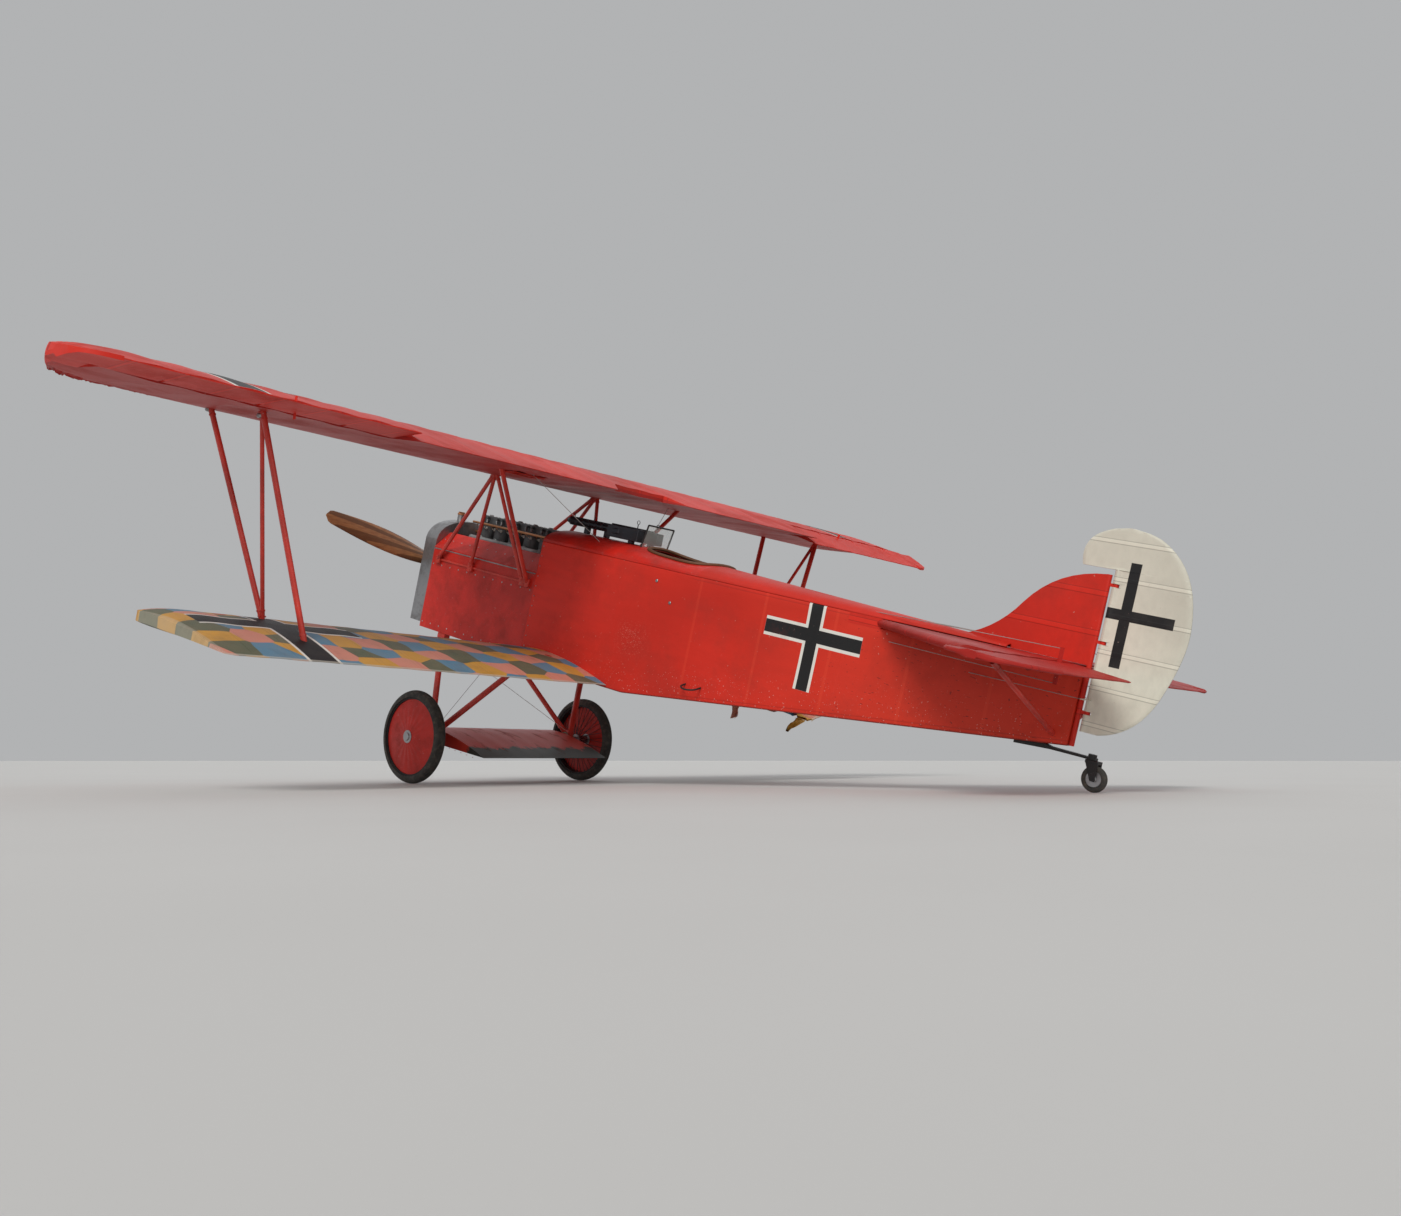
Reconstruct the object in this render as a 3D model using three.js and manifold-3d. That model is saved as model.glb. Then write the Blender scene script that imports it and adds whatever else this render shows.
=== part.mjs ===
// Single-seat fighter biplane of the 1910s, full size, parked on its main wheels and tail wheel.
// Millimetres. Inside the airframe group +X is port, +Y is aft, +Z is up and the flat belly is z = 0.
import * as THREE from 'three';
import { mergeVertices } from 'three/addons/utils/BufferGeometryUtils.js';
import Module from 'manifold-3d';

const wasm = await Module();
wasm.setup();

// Clearances
const SEAT = 0.3;
const RUN = 7;
const REACH = 3000;

// Fuselage
const HALF_WIDTH = 375;
const STERN_HALF_WIDTH = 30;
const TOP = 1000;
const FIREWALL = 1320;
const TAPER_FROM = 2300;
const RISE_FROM = 2500;
const STERN = 5900;
const STERN_BOTTOM = 500;
const TAIL_SEAT = 937;
const TAIL_SEAT_FROM = 4290;
const WALL = 35;
const WELL = { from: 2250, to: 3000, floor: 120 };
const HOLE = { from: 2295, to: 2960, half: 235, corner: 170 };
const DECK_RISE = 130;
const DECK_WALL = 14;
const DECK_END = 5400;

// Foot step low on the port side, and lifting loop on the starboard lower edge near the tail
const FOOT_STEP = { side: 1, y: 3150, reach: 90, high: 210, low: 180 };
const LIFT_LOOP = { side: -1, y: 4850, reach: 85, high: 405, low: 390 };

// Nose and engine
const NOSE = -250;
const RADIATOR_BACK = -90;
const COWL_TOP = 720;
const COWL_SHEET = 12;
const CHIN_END = 960;
const THRUST_Z = 550;
const CRANKCASE = { half: 170, from: 0, to: 1290, bottom: 130, top: 500 };
const CYLINDER = { count: 6, first: 150, pitch: 205, barrel: 64, jacket: 78, jacketFrom: 740, top: 1040 };
const CAM_BOX = { half: 42, from: 1030, top: 1100, past: 60 };
const ROCKER = { apart: 36, reach: 76, half: 8, spring: 11, low: 1070, high: 1088 };
const INTAKE = { x: 165, z: 880, radius: 24, past: 30, branch: 19, riser: 21, risersTo: [430, 900] };
const CARBURETTOR = { x: [110, 200], y: [600, 730], top: 640 };
const EXHAUST = { x: -262, z: 938, radius: 36, stub: 22, from: 60, to: 1180, outlet: [-445, 1650] };
const SLATS = { count: 15, pitch: 44, width: 9, recess: 28, rim: 30 };
const FILLER = { x: 90, y: -170, bottom: 960, top: 1050, radius: 32 };
const SHAFT_RADIUS = 35;
const PROPELLER = { y: -400, radius: 1350, hubRadius: 90, hubHalf: 70 };
const PROPELLER_TURN = 78;

// Wings
const UPPER = { leading: 516, chord: 1604, z: 1520, tip: 4240, thick: 0.13, camber: 0.03 };
const LOWER = { leading: 1159, chord: 1203, z: 20, tip: 3500, thick: 0.13, camber: 0.03 };
const DIHEDRAL = 0.6;
const CUTOUT = { half: 430, inner: 300, depth: 190 };
const HATCH = { x: [700, 1010], y: [1417, 1557], z: [1430, 1545] };
const SECTION_STEPS = 11;
const INTERPLANE = {
  // x of both tops, then x, y, z of each foot
  left: { topX: 3110, front: [2800, 1470, 135], rear: [2800, 2030, 80] },
  right: { topX: -3110, front: [-2240, 1470, 100], rear: [-2240, 2010, 62] },
};

// Ailerons, elevator and rudder: each turns in lugs on the spar ahead of it
const AILERON = { inner: 2300, outer: 4470, hinge: 1800, z: 1551, nose: 38, droop: 31, rest: 10 };
const AILERON_LUGS = [2700, 3300, 3900];
const TAIL_Z = 968;
const TAILPLANE = { apex: 4300, hinge: 5860, tip: 1088, corner: 5625, top: 998 };
const ELEVATOR = { nose: 24, trailing: 6288, outer: 1448, hornInner: 1128 };
const ELEVATOR_LUGS = [350, 850];
const RUDDER = { hinge: 5970, nose: 22, half: 15 };
const RUDDER_LUGS = [720, 1150, 1500];
const STERNPOST = { y: 5917.3, radius: 17, bottom: 505, top: 1560 };
const LUG = { radius: 0.8, half: 10 };

// Landing gear
const AXLE = { y: 900, z: -780, radius: 28, end: 985 };
const TRACK_HALF = 955;
const SHOE = { x: 765, half: 62, low: 75, high: 85 };
const LEG_RADIUS = 21;
const GEAR_LEGS = [
  // y of the leg's top, y limits of its pad, shift of its lower end from the axle
  { top: 230, pad: [190, 290], shift: -30 },
  { top: 1350, pad: [1325, 1400], shift: 30 },
];
const TYRE = { radius: 380, width: 100 };
const RIM_RADIUS = 322;
const WHEEL_STEPS = 44;
const AXLE_WING = { half: 700, leading: 610, chord: 890, thick: 0.13 };
const TAIL_WHEEL = { y: 6100, z: 350, radius: 80, half: 20 };
const SWIVEL = { y: 6060, top: 456 };

// Broken starboard lower wing
const BREAK_X = -2220;
const TIP_PANEL = { x: -2500, z: -190, tilt: 22, length: 960 };

const RAD = Math.PI / 180;

// Material of painted fabric, metal, wood and so on
const finish = (color, roughness, metalness) =>
  new THREE.MeshStandardMaterial({ color, roughness, metalness });
const RED = finish(0xa81c14, 0.35, 0);
const DARK_RED = finish(0x7c1712, 0.45, 0.1);
const STRUT_RED = finish(0xc23a30, 0.4, 0.2);
const LOZENGE = finish(0x8c8f6e, 0.6, 0);
const CREAM = finish(0xd9d6c6, 0.5, 0);
const IRON = finish(0x3a3a3c, 0.5, 0.8);
const STEEL = finish(0x8f9296, 0.35, 1);
const WOOD = finish(0x8a5a2e, 0.45, 0);
const LEATHER = finish(0x4a2c1a, 0.6, 0);
const RUBBER = finish(0x1d1c1b, 0.85, 0);
const GLASS = finish(0xcfe0e2, 0.05, 0);
const BLACK = finish(0x1a1a1a, 0.5, 0.3);

// Turns a closed three.js geometry into a solid for booleans
function solid(geometry) {
  const bare = geometry.clone();
  bare.deleteAttribute('normal');
  bare.deleteAttribute('uv');
  const merged = mergeVertices(bare, 1e-3);
  const mesh = new wasm.Mesh({
    numProp: 3,
    vertProperties: new Float32Array(merged.attributes.position.array),
    triVerts: new Uint32Array(merged.index.array),
  });
  return new wasm.Manifold(mesh);
}

// Gives a solid back as a geometry, with its origin moved to a point if one is given
function geometryOf(body, origin = [0, 0, 0]) {
  const mesh = body.getMesh();
  const geometry = new THREE.BufferGeometry();
  geometry.setAttribute('position', new THREE.BufferAttribute(mesh.vertProperties, 3));
  geometry.setIndex(new THREE.BufferAttribute(mesh.triVerts, 1));
  geometry.translate(-origin[0], -origin[1], -origin[2]);
  geometry.computeVertexNormals();
  return geometry;
}

const join = (bodies) => bodies.reduce((whole, body) => whole.add(body));
const shapeOf = (points) => new THREE.Shape(points.map(([a, b]) => new THREE.Vector2(a, b)));
const moved = (body, x, y, z) => body.translate([x, y, z]);
const mirrored = (body) => body.mirror([1, 0, 0]);

// Box between low and high limits on each axis
function box(x, y, z) {
  const geometry = new THREE.BoxGeometry(x[1] - x[0], y[1] - y[0], z[1] - z[0]);
  geometry.translate((x[0] + x[1]) / 2, (y[0] + y[1]) / 2, (z[0] + z[1]) / 2);
  return solid(geometry);
}

// Flat outline, points or a shape, given a depth along its own z
function slab(outline, depth) {
  const shape = Array.isArray(outline) ? shapeOf(outline) : outline;
  return new THREE.ExtrudeGeometry(shape, { depth, bevelEnabled: false, curveSegments: 8 });
}

// Outline in plan, (x, y) points, between two heights
function planSolid(outline, z0, z1) {
  const geometry = slab(outline, z1 - z0);
  geometry.translate(0, 0, z0);
  return solid(geometry);
}

// Outline seen from the side, (y, z) points, between two x limits
function sideSolid(outline, x0, x1) {
  const geometry = slab(outline, x1 - x0);
  const axes = new THREE.Matrix4().makeBasis(
    new THREE.Vector3(0, 1, 0), new THREE.Vector3(0, 0, 1), new THREE.Vector3(1, 0, 0));
  geometry.applyMatrix4(axes);
  geometry.translate(x0, 0, 0);
  return solid(geometry);
}

// Outline seen from the front, (x, z) points, between two y limits
function frontSolid(outline, y0, y1) {
  const geometry = slab(outline, y1 - y0);
  const axes = new THREE.Matrix4().makeBasis(
    new THREE.Vector3(1, 0, 0), new THREE.Vector3(0, 0, 1), new THREE.Vector3(0, -1, 0));
  geometry.applyMatrix4(axes);
  geometry.translate(0, y1, 0);
  return solid(geometry);
}

// Round bar between two points
function bar(from, to, radius, sides = 10) {
  const a = new THREE.Vector3(...from);
  const b = new THREE.Vector3(...to);
  const way = b.clone().sub(a);
  const geometry = new THREE.CylinderGeometry(radius, radius, way.length(), sides);
  const turn = new THREE.Quaternion().setFromUnitVectors(new THREE.Vector3(0, 1, 0), way.normalize());
  geometry.applyQuaternion(turn);
  geometry.translate((a.x + b.x) / 2, (a.y + b.y) / 2, (a.z + b.z) / 2);
  return solid(geometry);
}

// Square-edged beam between two points, width across y and height in z
function beam(from, to, width, height) {
  const a = new THREE.Vector3(...from);
  const b = new THREE.Vector3(...to);
  const way = b.clone().sub(a);
  const geometry = new THREE.BoxGeometry(way.length(), width, height);
  const turn = new THREE.Quaternion().setFromUnitVectors(new THREE.Vector3(1, 0, 0), way.normalize());
  geometry.applyQuaternion(turn);
  geometry.translate((a.x + b.x) / 2, (a.y + b.y) / 2, (a.z + b.z) / 2);
  return solid(geometry);
}

// Wing section outline in (y, z): a thick rounded nose, cambered, with a blunt thin trailing edge
function wingSection({ leading, chord, z, thick, camber }) {
  const outline = [];
  for (let i = 0; i <= 2 * SECTION_STEPS; i += 1) {
    const s = (1 + Math.cos(Math.PI * i / SECTION_STEPS)) / 2;
    const nose = 0.2969 * Math.sqrt(s) - 0.126 * s;
    const root = nose - 0.3516 * s ** 2 + 0.2843 * s ** 3 - 0.1036 * s ** 4;
    const blunt = s > 0.5 ? 0.002 : 0;
    const half = Math.max(5 * thick * root, blunt);
    const side = i <= SECTION_STEPS ? 1 : -1;
    outline.push([leading + s * chord, z + chord * (4 * camber * s * (1 - s) + side * half)]);
  }
  outline.splice(SECTION_STEPS, 1, [leading, z]);
  return outline;
}

// Half width of the fuselage at a station
function halfWidthAt(y) {
  const slope = (HALF_WIDTH - STERN_HALF_WIDTH) / (STERN - TAPER_FROM);
  return HALF_WIDTH - Math.max(0, y - TAPER_FROM) * slope;
}

const bellyAt = (y) => Math.max(0, y - RISE_FROM) * STERN_BOTTOM / (STERN - RISE_FROM);

// Rounded rectangle in plan
function roundedPlan(x0, x1, y0, y1, corner) {
  const shape = new THREE.Shape();
  shape.moveTo(x0 + corner, y0);
  shape.lineTo(x1 - corner, y0);
  shape.quadraticCurveTo(x1, y0, x1, y0 + corner);
  shape.lineTo(x1, y1 - corner);
  shape.quadraticCurveTo(x1, y1, x1 - corner, y1);
  shape.lineTo(x0 + corner, y1);
  shape.quadraticCurveTo(x0, y1, x0, y1 - corner);
  shape.lineTo(x0, y0 + corner);
  shape.quadraticCurveTo(x0, y0, x0 + corner, y0);
  return shape;
}

// Slab-sided fuselage behind the engine, with the cockpit well open at the top
function fuselageBody() {
  const plan = planSolid([
    [-HALF_WIDTH, FIREWALL], [HALF_WIDTH, FIREWALL], [HALF_WIDTH, TAPER_FROM], [STERN_HALF_WIDTH, STERN],
    [-STERN_HALF_WIDTH, STERN], [-HALF_WIDTH, TAPER_FROM]], -REACH, REACH);
  const side = sideSolid([
    [FIREWALL, 0], [RISE_FROM, 0], [STERN, STERN_BOTTOM], [STERN, TAIL_SEAT], [TAIL_SEAT_FROM, TAIL_SEAT],
    [TAIL_SEAT_FROM, TOP], [FIREWALL, TOP]], -REACH, REACH);
  const aftHalf = halfWidthAt(WELL.to) - WALL;
  const well = planSolid([
    [-HALF_WIDTH + WALL, WELL.from], [HALF_WIDTH - WALL, WELL.from], [HALF_WIDTH - WALL, TAPER_FROM],
    [aftHalf, WELL.to], [-aftHalf, WELL.to], [-HALF_WIDTH + WALL, TAPER_FROM]], WELL.floor, TOP + 1);
  return plan.intersect(side).subtract(well);
}

// Rounded decking: the upper half of an elliptic cone over the fuselage's top
function deckCone(from, to, grow) {
  const front = halfWidthAt(from) + grow;
  const back = halfWidthAt(to) + grow;
  const geometry = new THREE.CylinderGeometry(back, front, to - from, 40);
  geometry.scale(1, 1, (DECK_RISE + grow) / (HALF_WIDTH + grow));
  geometry.translate(0, (from + to) / 2, TOP + SEAT);
  return solid(geometry);
}

const aboveTop = () => box([-REACH, REACH], [-REACH, 3 * REACH], [TOP + SEAT, REACH]);

function deckShell(from, to) {
  const inside = deckCone(from - 1, to + 1, -DECK_WALL);
  return deckCone(from, to, 0).subtract(inside).intersect(aboveTop());
}

// The whole fore decking as a full body, for what stands on it
const deckMass = (grow) => deckCone(FIREWALL, TAPER_FROM, grow).add(deckCone(TAPER_FROM, WELL.to, grow));

const holePlan = (grow) => roundedPlan(
  -HOLE.half - grow, HOLE.half + grow, HOLE.from - grow, HOLE.to + grow, HOLE.corner + grow / 2);

// Fore decking round the cockpit hole, and the padded rim that hugs it
function foreDeck() {
  const widePart = deckShell(FIREWALL, TAPER_FROM);
  const taperPart = deckShell(TAPER_FROM, WELL.to);
  return widePart.add(taperPart).subtract(planSolid(holePlan(0), TOP - 1, REACH));
}

function cockpitRim() {
  const ring = planSolid(holePlan(28), TOP + SEAT, REACH).subtract(planSolid(holePlan(-16), TOP - 1, REACH));
  return deckMass(16).subtract(deckMass(SEAT)).intersect(ring);
}

// Radiator seen from the front: upright sides under a rounded top
function radiatorOutline(inset) {
  const half = 370 - inset;
  const shape = new THREE.Shape();
  shape.moveTo(-half, 40 + inset);
  shape.lineTo(half, 40 + inset);
  shape.lineTo(half, 800);
  shape.quadraticCurveTo(half - 30, 985 - inset, 0, 1005 - inset);
  shape.quadraticCurveTo(-half + 30, 985 - inset, -half, 800);
  shape.lineTo(-half, 40 + inset);
  return shape;
}

// Radiator shell with upright slats over its recessed core and the hole for the propeller shaft
function radiatorBody() {
  const { count, pitch, width, recess, rim } = SLATS;
  const shell = frontSolid(radiatorOutline(0), NOSE, RADIATOR_BACK - SEAT);
  const hollow = frontSolid(radiatorOutline(rim), NOSE - 1, NOSE + recess);
  const slats = Array.from({ length: count }, (_, i) => {
    const at = (i - (count - 1) / 2) * pitch;
    return box([at - width / 2, at + width / 2], [NOSE + 6, NOSE + recess + 2], [0, REACH]);
  });
  const core = join(slats).intersect(frontSolid(radiatorOutline(rim - 2), NOSE, RADIATOR_BACK));
  const hole = bar([0, NOSE - 1, THRUST_Z], [0, RADIATOR_BACK + 1, THRUST_Z], SHAFT_RADIUS + 35, 24);
  const { x, y, bottom, top, radius } = FILLER;
  const filler = bar([x, y, bottom], [x, y, top], radius, 16);
  return shell.subtract(hollow).add(core).subtract(hole).add(filler);
}

// Crankcase on two bearers, with the shaft that carries the propeller
function engineBlock() {
  const { half, from, to, bottom, top } = CRANKCASE;
  const bearer = box([half - 5, half + 60], [RADIATOR_BACK, FIREWALL - SEAT], [390, 450]);
  const shaftEnd = PROPELLER.y + PROPELLER.hubHalf + SEAT;
  const shaft = bar([0, from + 20, THRUST_Z], [0, shaftEnd, THRUST_Z], SHAFT_RADIUS, 24);
  const sump = box([-half * 0.6, half * 0.6], [from + 150, to - 100], [bottom, bottom + 150]);
  const block = box([-half, half], [from, to], [bottom + 130, top]);
  const nosePiece = bar([0, from - 1, THRUST_Z - 20], [0, from + 110, THRUST_Z - 20], 95, 20);
  return join([block, sump, bearer, mirrored(bearer), nosePiece, shaft]).subtract(
    box([-REACH, REACH], [-REACH, REACH], [top, top + 400]).subtract(shaft).subtract(nosePiece));
}

const cylinderYs = Array.from({ length: CYLINDER.count }, (_, i) => CYLINDER.first + i * CYLINDER.pitch);
const FIRST_CYLINDER = cylinderYs[0];
const LAST_CYLINDER = cylinderYs[CYLINDER.count - 1];

// Water jackets of all cylinders, or with a growth the room that a pipe leaves to them
const jackets = (grow) => cylinderYs.map((y) =>
  bar([0, y, CYLINDER.jacketFrom - grow], [0, y, CYLINDER.top + grow], CYLINDER.jacket + grow, 20));

// Valve gear at one station: an arm across the camshaft housing with a spring under each end
function rockerPair(y) {
  const { reach, half, spring, low, high } = ROCKER;
  const arm = box([-reach, reach], [y - half, y + half], [low, high]);
  const springs = [spring - reach, reach - spring].map((x) =>
    bar([x, y, CYLINDER.top - 5], [x, y, low + 5], spring, 10));
  return join([arm, ...springs]);
}

// Row of cylinders in their jackets, joined by the camshaft housing along their heads
function cylinderRow() {
  const barrels = cylinderYs.map((y) =>
    bar([0, y, CRANKCASE.top + SEAT], [0, y, CYLINDER.top - 5], CYLINDER.barrel, 20));
  const camBox = box([-CAM_BOX.half, CAM_BOX.half],
    [FIRST_CYLINDER - CAM_BOX.past, LAST_CYLINDER + CAM_BOX.past], [CAM_BOX.from, CAM_BOX.top]);
  const rockers = cylinderYs.flatMap((y) => [rockerPair(y - ROCKER.apart), rockerPair(y + ROCKER.apart)]);
  const nose = bar([0, FIRST_CYLINDER, THRUST_Z - 20], [0, FIRST_CYLINDER - 200, THRUST_Z - 20], 96, 20);
  return join([...barrels, ...jackets(0), camBox, ...rockers]).subtract(nose);
}

// Exhaust collector along the starboard side with a stub to each cylinder
function exhaustPipe() {
  const { x, z, radius, stub, from, to, outlet } = EXHAUST;
  const elbow = [outlet[0] + 15, to + 110, z];
  const collector = bar([x, from, z], [x, to, z], radius, 14);
  const bend = bar([x, to - 30, z], elbow, radius, 14);
  const tail = bar([elbow[0], elbow[1] - 15, z], [...outlet, z], radius, 14);
  const stubs = cylinderYs.map((y) => bar([-40, y, z], [x, y, z], stub, 10));
  return join([collector, bend, tail, ...stubs]).subtract(join(jackets(SEAT)));
}

// Intake along the port side: a branch to each cylinder, and two risers from the carburettor
function intakePipe() {
  const { x, z, radius, past, branch, riser, risersTo } = INTAKE;
  const pipe = bar([x, FIRST_CYLINDER - past, z], [x, LAST_CYLINDER + past, z], radius, 14);
  const branches = cylinderYs.map((y) => bar([40, y, z], [x, y, z], branch, 12));
  const middle = (CARBURETTOR.y[0] + CARBURETTOR.y[1]) / 2;
  const risers = risersTo.map((y) => bar([x - 10, middle, CARBURETTOR.top - 30], [x, y, z], riser, 12));
  const carburettor = box(CARBURETTOR.x, CARBURETTOR.y, [CRANKCASE.top + SEAT, CARBURETTOR.top]);
  return join([pipe, ...branches, ...risers, carburettor]).subtract(join(jackets(SEAT)));
}

// Fixed-pitch blade: a box bent into a twisted, tapered blade along +Z
function bladeGeometry() {
  const steps = 10;
  const geometry = new THREE.BoxGeometry(1, 1, PROPELLER.radius - 30, 4, 1, steps);
  const position = geometry.attributes.position;
  for (let i = 0; i < position.count; i += 1) {
    const r = position.getZ(i) + (PROPELLER.radius + 30) / 2;
    const s = r / PROPELLER.radius;
    const chord = 90 + 150 * Math.sin(Math.PI * Math.min(1, s * 0.95) ** 0.9) * (1 - 0.25 * s);
    const thick = 78 * (1 - s) ** 1.1 + 14;
    const pitch = Math.atan2(0.32, s + 0.12);
    const across = position.getX(i);
    const round = 1 - (2 * across) ** 2 * 0.7;
    const u = across * chord;
    const w = position.getY(i) * thick * round;
    const x = u * Math.cos(pitch) - w * Math.sin(pitch);
    const y = u * Math.sin(pitch) + w * Math.cos(pitch);
    position.setXYZ(i, x, y, r);
  }
  return geometry;
}

function propellerBody() {
  const blade = solid(bladeGeometry());
  const { hubRadius, hubHalf } = PROPELLER;
  const hub = bar([0, -hubHalf, 0], [0, hubHalf, 0], hubRadius, 28);
  const plate = bar([0, -hubHalf - 14, 0], [0, -hubHalf, 0], hubRadius - 12, 28);
  return join([hub, plate, blade, blade.rotate([0, 180, 0])]);
}

// Side cowls, sloped shoulders and the chin panel that leaves the sump open behind it
function sideCowl() {
  return box([HALF_WIDTH - COWL_SHEET, HALF_WIDTH], [RADIATOR_BACK, FIREWALL - SEAT], [0, COWL_TOP]);
}

function shoulderCowl() {
  const low = COWL_TOP + SEAT;
  const outline = [
    [HALF_WIDTH, low], [HALF_WIDTH, COWL_TOP + 16], [232, 882], [220, 872], [HALF_WIDTH - COWL_SHEET, low]];
  return frontSolid(outline, RADIATOR_BACK, FIREWALL - SEAT);
}

function chinPanel() {
  const half = HALF_WIDTH - COWL_SHEET - SEAT;
  const inner = CHIN_END - COWL_SHEET;
  return sideSolid([
    [RADIATOR_BACK, 40], [RADIATOR_BACK, 28], [250, 0], [CHIN_END, 0], [CHIN_END, 60],
    [inner, 60], [inner, COWL_SHEET], [250, COWL_SHEET]], -half, half);
}

// One-piece upper wing: port leading edge crushed near the tip, cut out over the cockpit
function upperWing() {
  const trailing = UPPER.leading + UPPER.chord;
  const rear = AILERON.hinge - AILERON.nose - RUN;
  const step = AILERON.inner - RUN;
  const front = UPPER.leading - 1;
  const { tip } = UPPER;
  const plan = planSolid([
    [-3900, front], [3450, front], [3560, front + 90], [3800, front + 50], [3990, front + 170],
    [4130, front + 230], [tip - 20, front + 420], [tip, rear], [step, rear], [step, trailing + 1],
    [CUTOUT.half, trailing + 1], [CUTOUT.inner, trailing - CUTOUT.depth],
    [-CUTOUT.inner, trailing - CUTOUT.depth], [-CUTOUT.half, trailing + 1], [-step, trailing + 1],
    [-step, rear], [-tip, rear], [-tip + 20, front + 420], [-tip + 110, front + 140]], -REACH, REACH);
  const hatch = box(HATCH.x, HATCH.y, HATCH.z);
  const lugs = AILERON_LUGS.flatMap((x) => [lugAcross(x), lugAcross(-x)]);
  return join([sideSolid(wingSection(UPPER), -tip - 1, tip + 1).intersect(plan).subtract(hatch), ...lugs]);
}

// Hinge lug of an aileron: a disc on the hinge line, carried by an arm from the spar
function lugAcross(x) {
  const { hinge, nose, z } = AILERON;
  const disc = bar([x - LUG.half, hinge, z], [x + LUG.half, hinge, z], nose * LUG.radius, 16);
  const arm = box([x - LUG.half, x + LUG.half], [hinge - nose - 30, hinge], [z - 12, z + 12]);
  return disc.add(arm);
}

// Port aileron in place, undeflected: tapered section, rounded tip and a balance horn past the wing tip
function aileronBody() {
  const { inner, outer, hinge, z, nose, droop } = AILERON;
  const tail = UPPER.leading + UPPER.chord;
  const section = new THREE.Shape();
  section.moveTo(tail, z - droop - 4);
  section.lineTo(tail, z - droop + 3);
  section.lineTo(hinge, z + nose);
  section.absarc(hinge, z, nose, Math.PI / 2, 3 * Math.PI / 2, false);
  section.lineTo(tail, z - droop - 4);
  const plan = new THREE.Shape();
  plan.moveTo(inner, hinge - 2 * nose);
  plan.lineTo(UPPER.tip + 14, hinge - 2 * nose);
  plan.lineTo(outer, hinge - 2 * nose);
  plan.lineTo(outer, hinge + 120);
  plan.quadraticCurveTo(outer, tail, outer - 240, tail);
  plan.lineTo(inner, tail);
  const flap = sideSolid(section, inner, outer).intersect(planSolid(plan, 0, REACH));
  const horn = new THREE.Shape();
  horn.moveTo(UPPER.tip + 12, hinge + 60);
  horn.lineTo(UPPER.tip + 12, hinge - 285);
  horn.quadraticCurveTo(outer - 10, hinge - 290, outer, hinge - 150);
  horn.lineTo(outer, hinge + 60);
  const slots = AILERON_LUGS.map((x) =>
    box([x - LUG.half - SEAT, x + LUG.half + SEAT], [hinge - REACH, hinge + nose + 6], [0, REACH]));
  return flap.add(planSolid(horn, z - 14, z + 14)).subtract(join(slots));
}

// Lower wing panel before it is cut to its outline, raised by the dihedral
function lowerPanel() {
  const bare = sideSolid(wingSection(LOWER), 0, LOWER.tip + 200);
  return bare.rotate([0, -DIHEDRAL, 0]);
}

function lowerWingLeft() {
  const front = LOWER.leading - 20;
  const back = LOWER.leading + LOWER.chord + 20;
  const plan = planSolid([
    [HALF_WIDTH + SEAT, front], [LOWER.tip - 60, front], [LOWER.tip + 55, front + 130],
    [LOWER.tip + 60, front + 330], [LOWER.tip, back], [HALF_WIDTH + SEAT, back]], -REACH, REACH);
  return lowerPanel().intersect(plan);
}

const splinterEnds = [
  // start x, y, z, end x, y, z, width, height
  [-2150, 1470, 85, -2640, 1500, -85, 42, 88],
  [-2150, 2010, 75, -2610, 1985, -95, 34, 62],
];

// The stumps, or with a growth the room that they need in their neighbour
const splinters = (grow) => splinterEnds.map(([x0, y0, z0, x1, y1, z1, width, height]) => {
  const end = [x1 - 2 * grow, y1, z1 - grow];
  return beam([x0, y0, z0], end, width + 2 * grow, height + 2 * grow);
});

// Starboard lower wing up to its jagged break, with the two spar stumps that stand out of it
function lowerWingRight() {
  const front = LOWER.leading - 20;
  const back = LOWER.leading + LOWER.chord + 20;
  const root = -HALF_WIDTH - SEAT;
  const plan = planSolid([
    [root, front], [root, back], [BREAK_X, back], [BREAK_X - 70, 2080], [BREAK_X + 20, 1960],
    [BREAK_X - 30, 1750], [BREAK_X - 160, 1600], [BREAK_X - 60, 1420], [BREAK_X - 190, 1290],
    [BREAK_X - 120, front]], -REACH, REACH);
  return join([mirrored(lowerPanel()).intersect(plan), ...splinters(0)]);
}

// Broken-off tip of the starboard lower wing, bent up and hanging on the spar stumps
function lowerTip() {
  const { x, z, tilt, length } = TIP_PANEL;
  const front = LOWER.leading - 20;
  const back = LOWER.leading + LOWER.chord + 20;
  const plan = planSolid([
    [0, front], [0, 1330], [60, 1500], [-50, 1620], [30, 1800], [-30, 2040], [40, 2230], [0, back],
    [60 - length, back], [-length - 10, back - 130], [-length, front + 180], [110 - length, front]],
  -REACH, REACH);
  const flat = sideSolid(wingSection({ ...LOWER, z: 0 }), -length - 200, 100).intersect(plan);
  return moved(flat.rotate([0, tilt, 0]), x, 0, z).subtract(join(splinters(SEAT)));
}

// Interplane strut of three tubes in an N, ended on the wings' skins
function interplane({ topX, front, rear }, upper, lower) {
  const topFront = [topX, 830, UPPER.z];
  const topRear = [topX, 1520, UPPER.z];
  const tubes = [bar(front, topFront, 20), bar(rear, topRear, 20), bar(front, topRear, 15)];
  return join(tubes).subtract(moved(upper, 0, 0, -SEAT)).subtract(moved(lower, 0, 0, SEAT));
}

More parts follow.
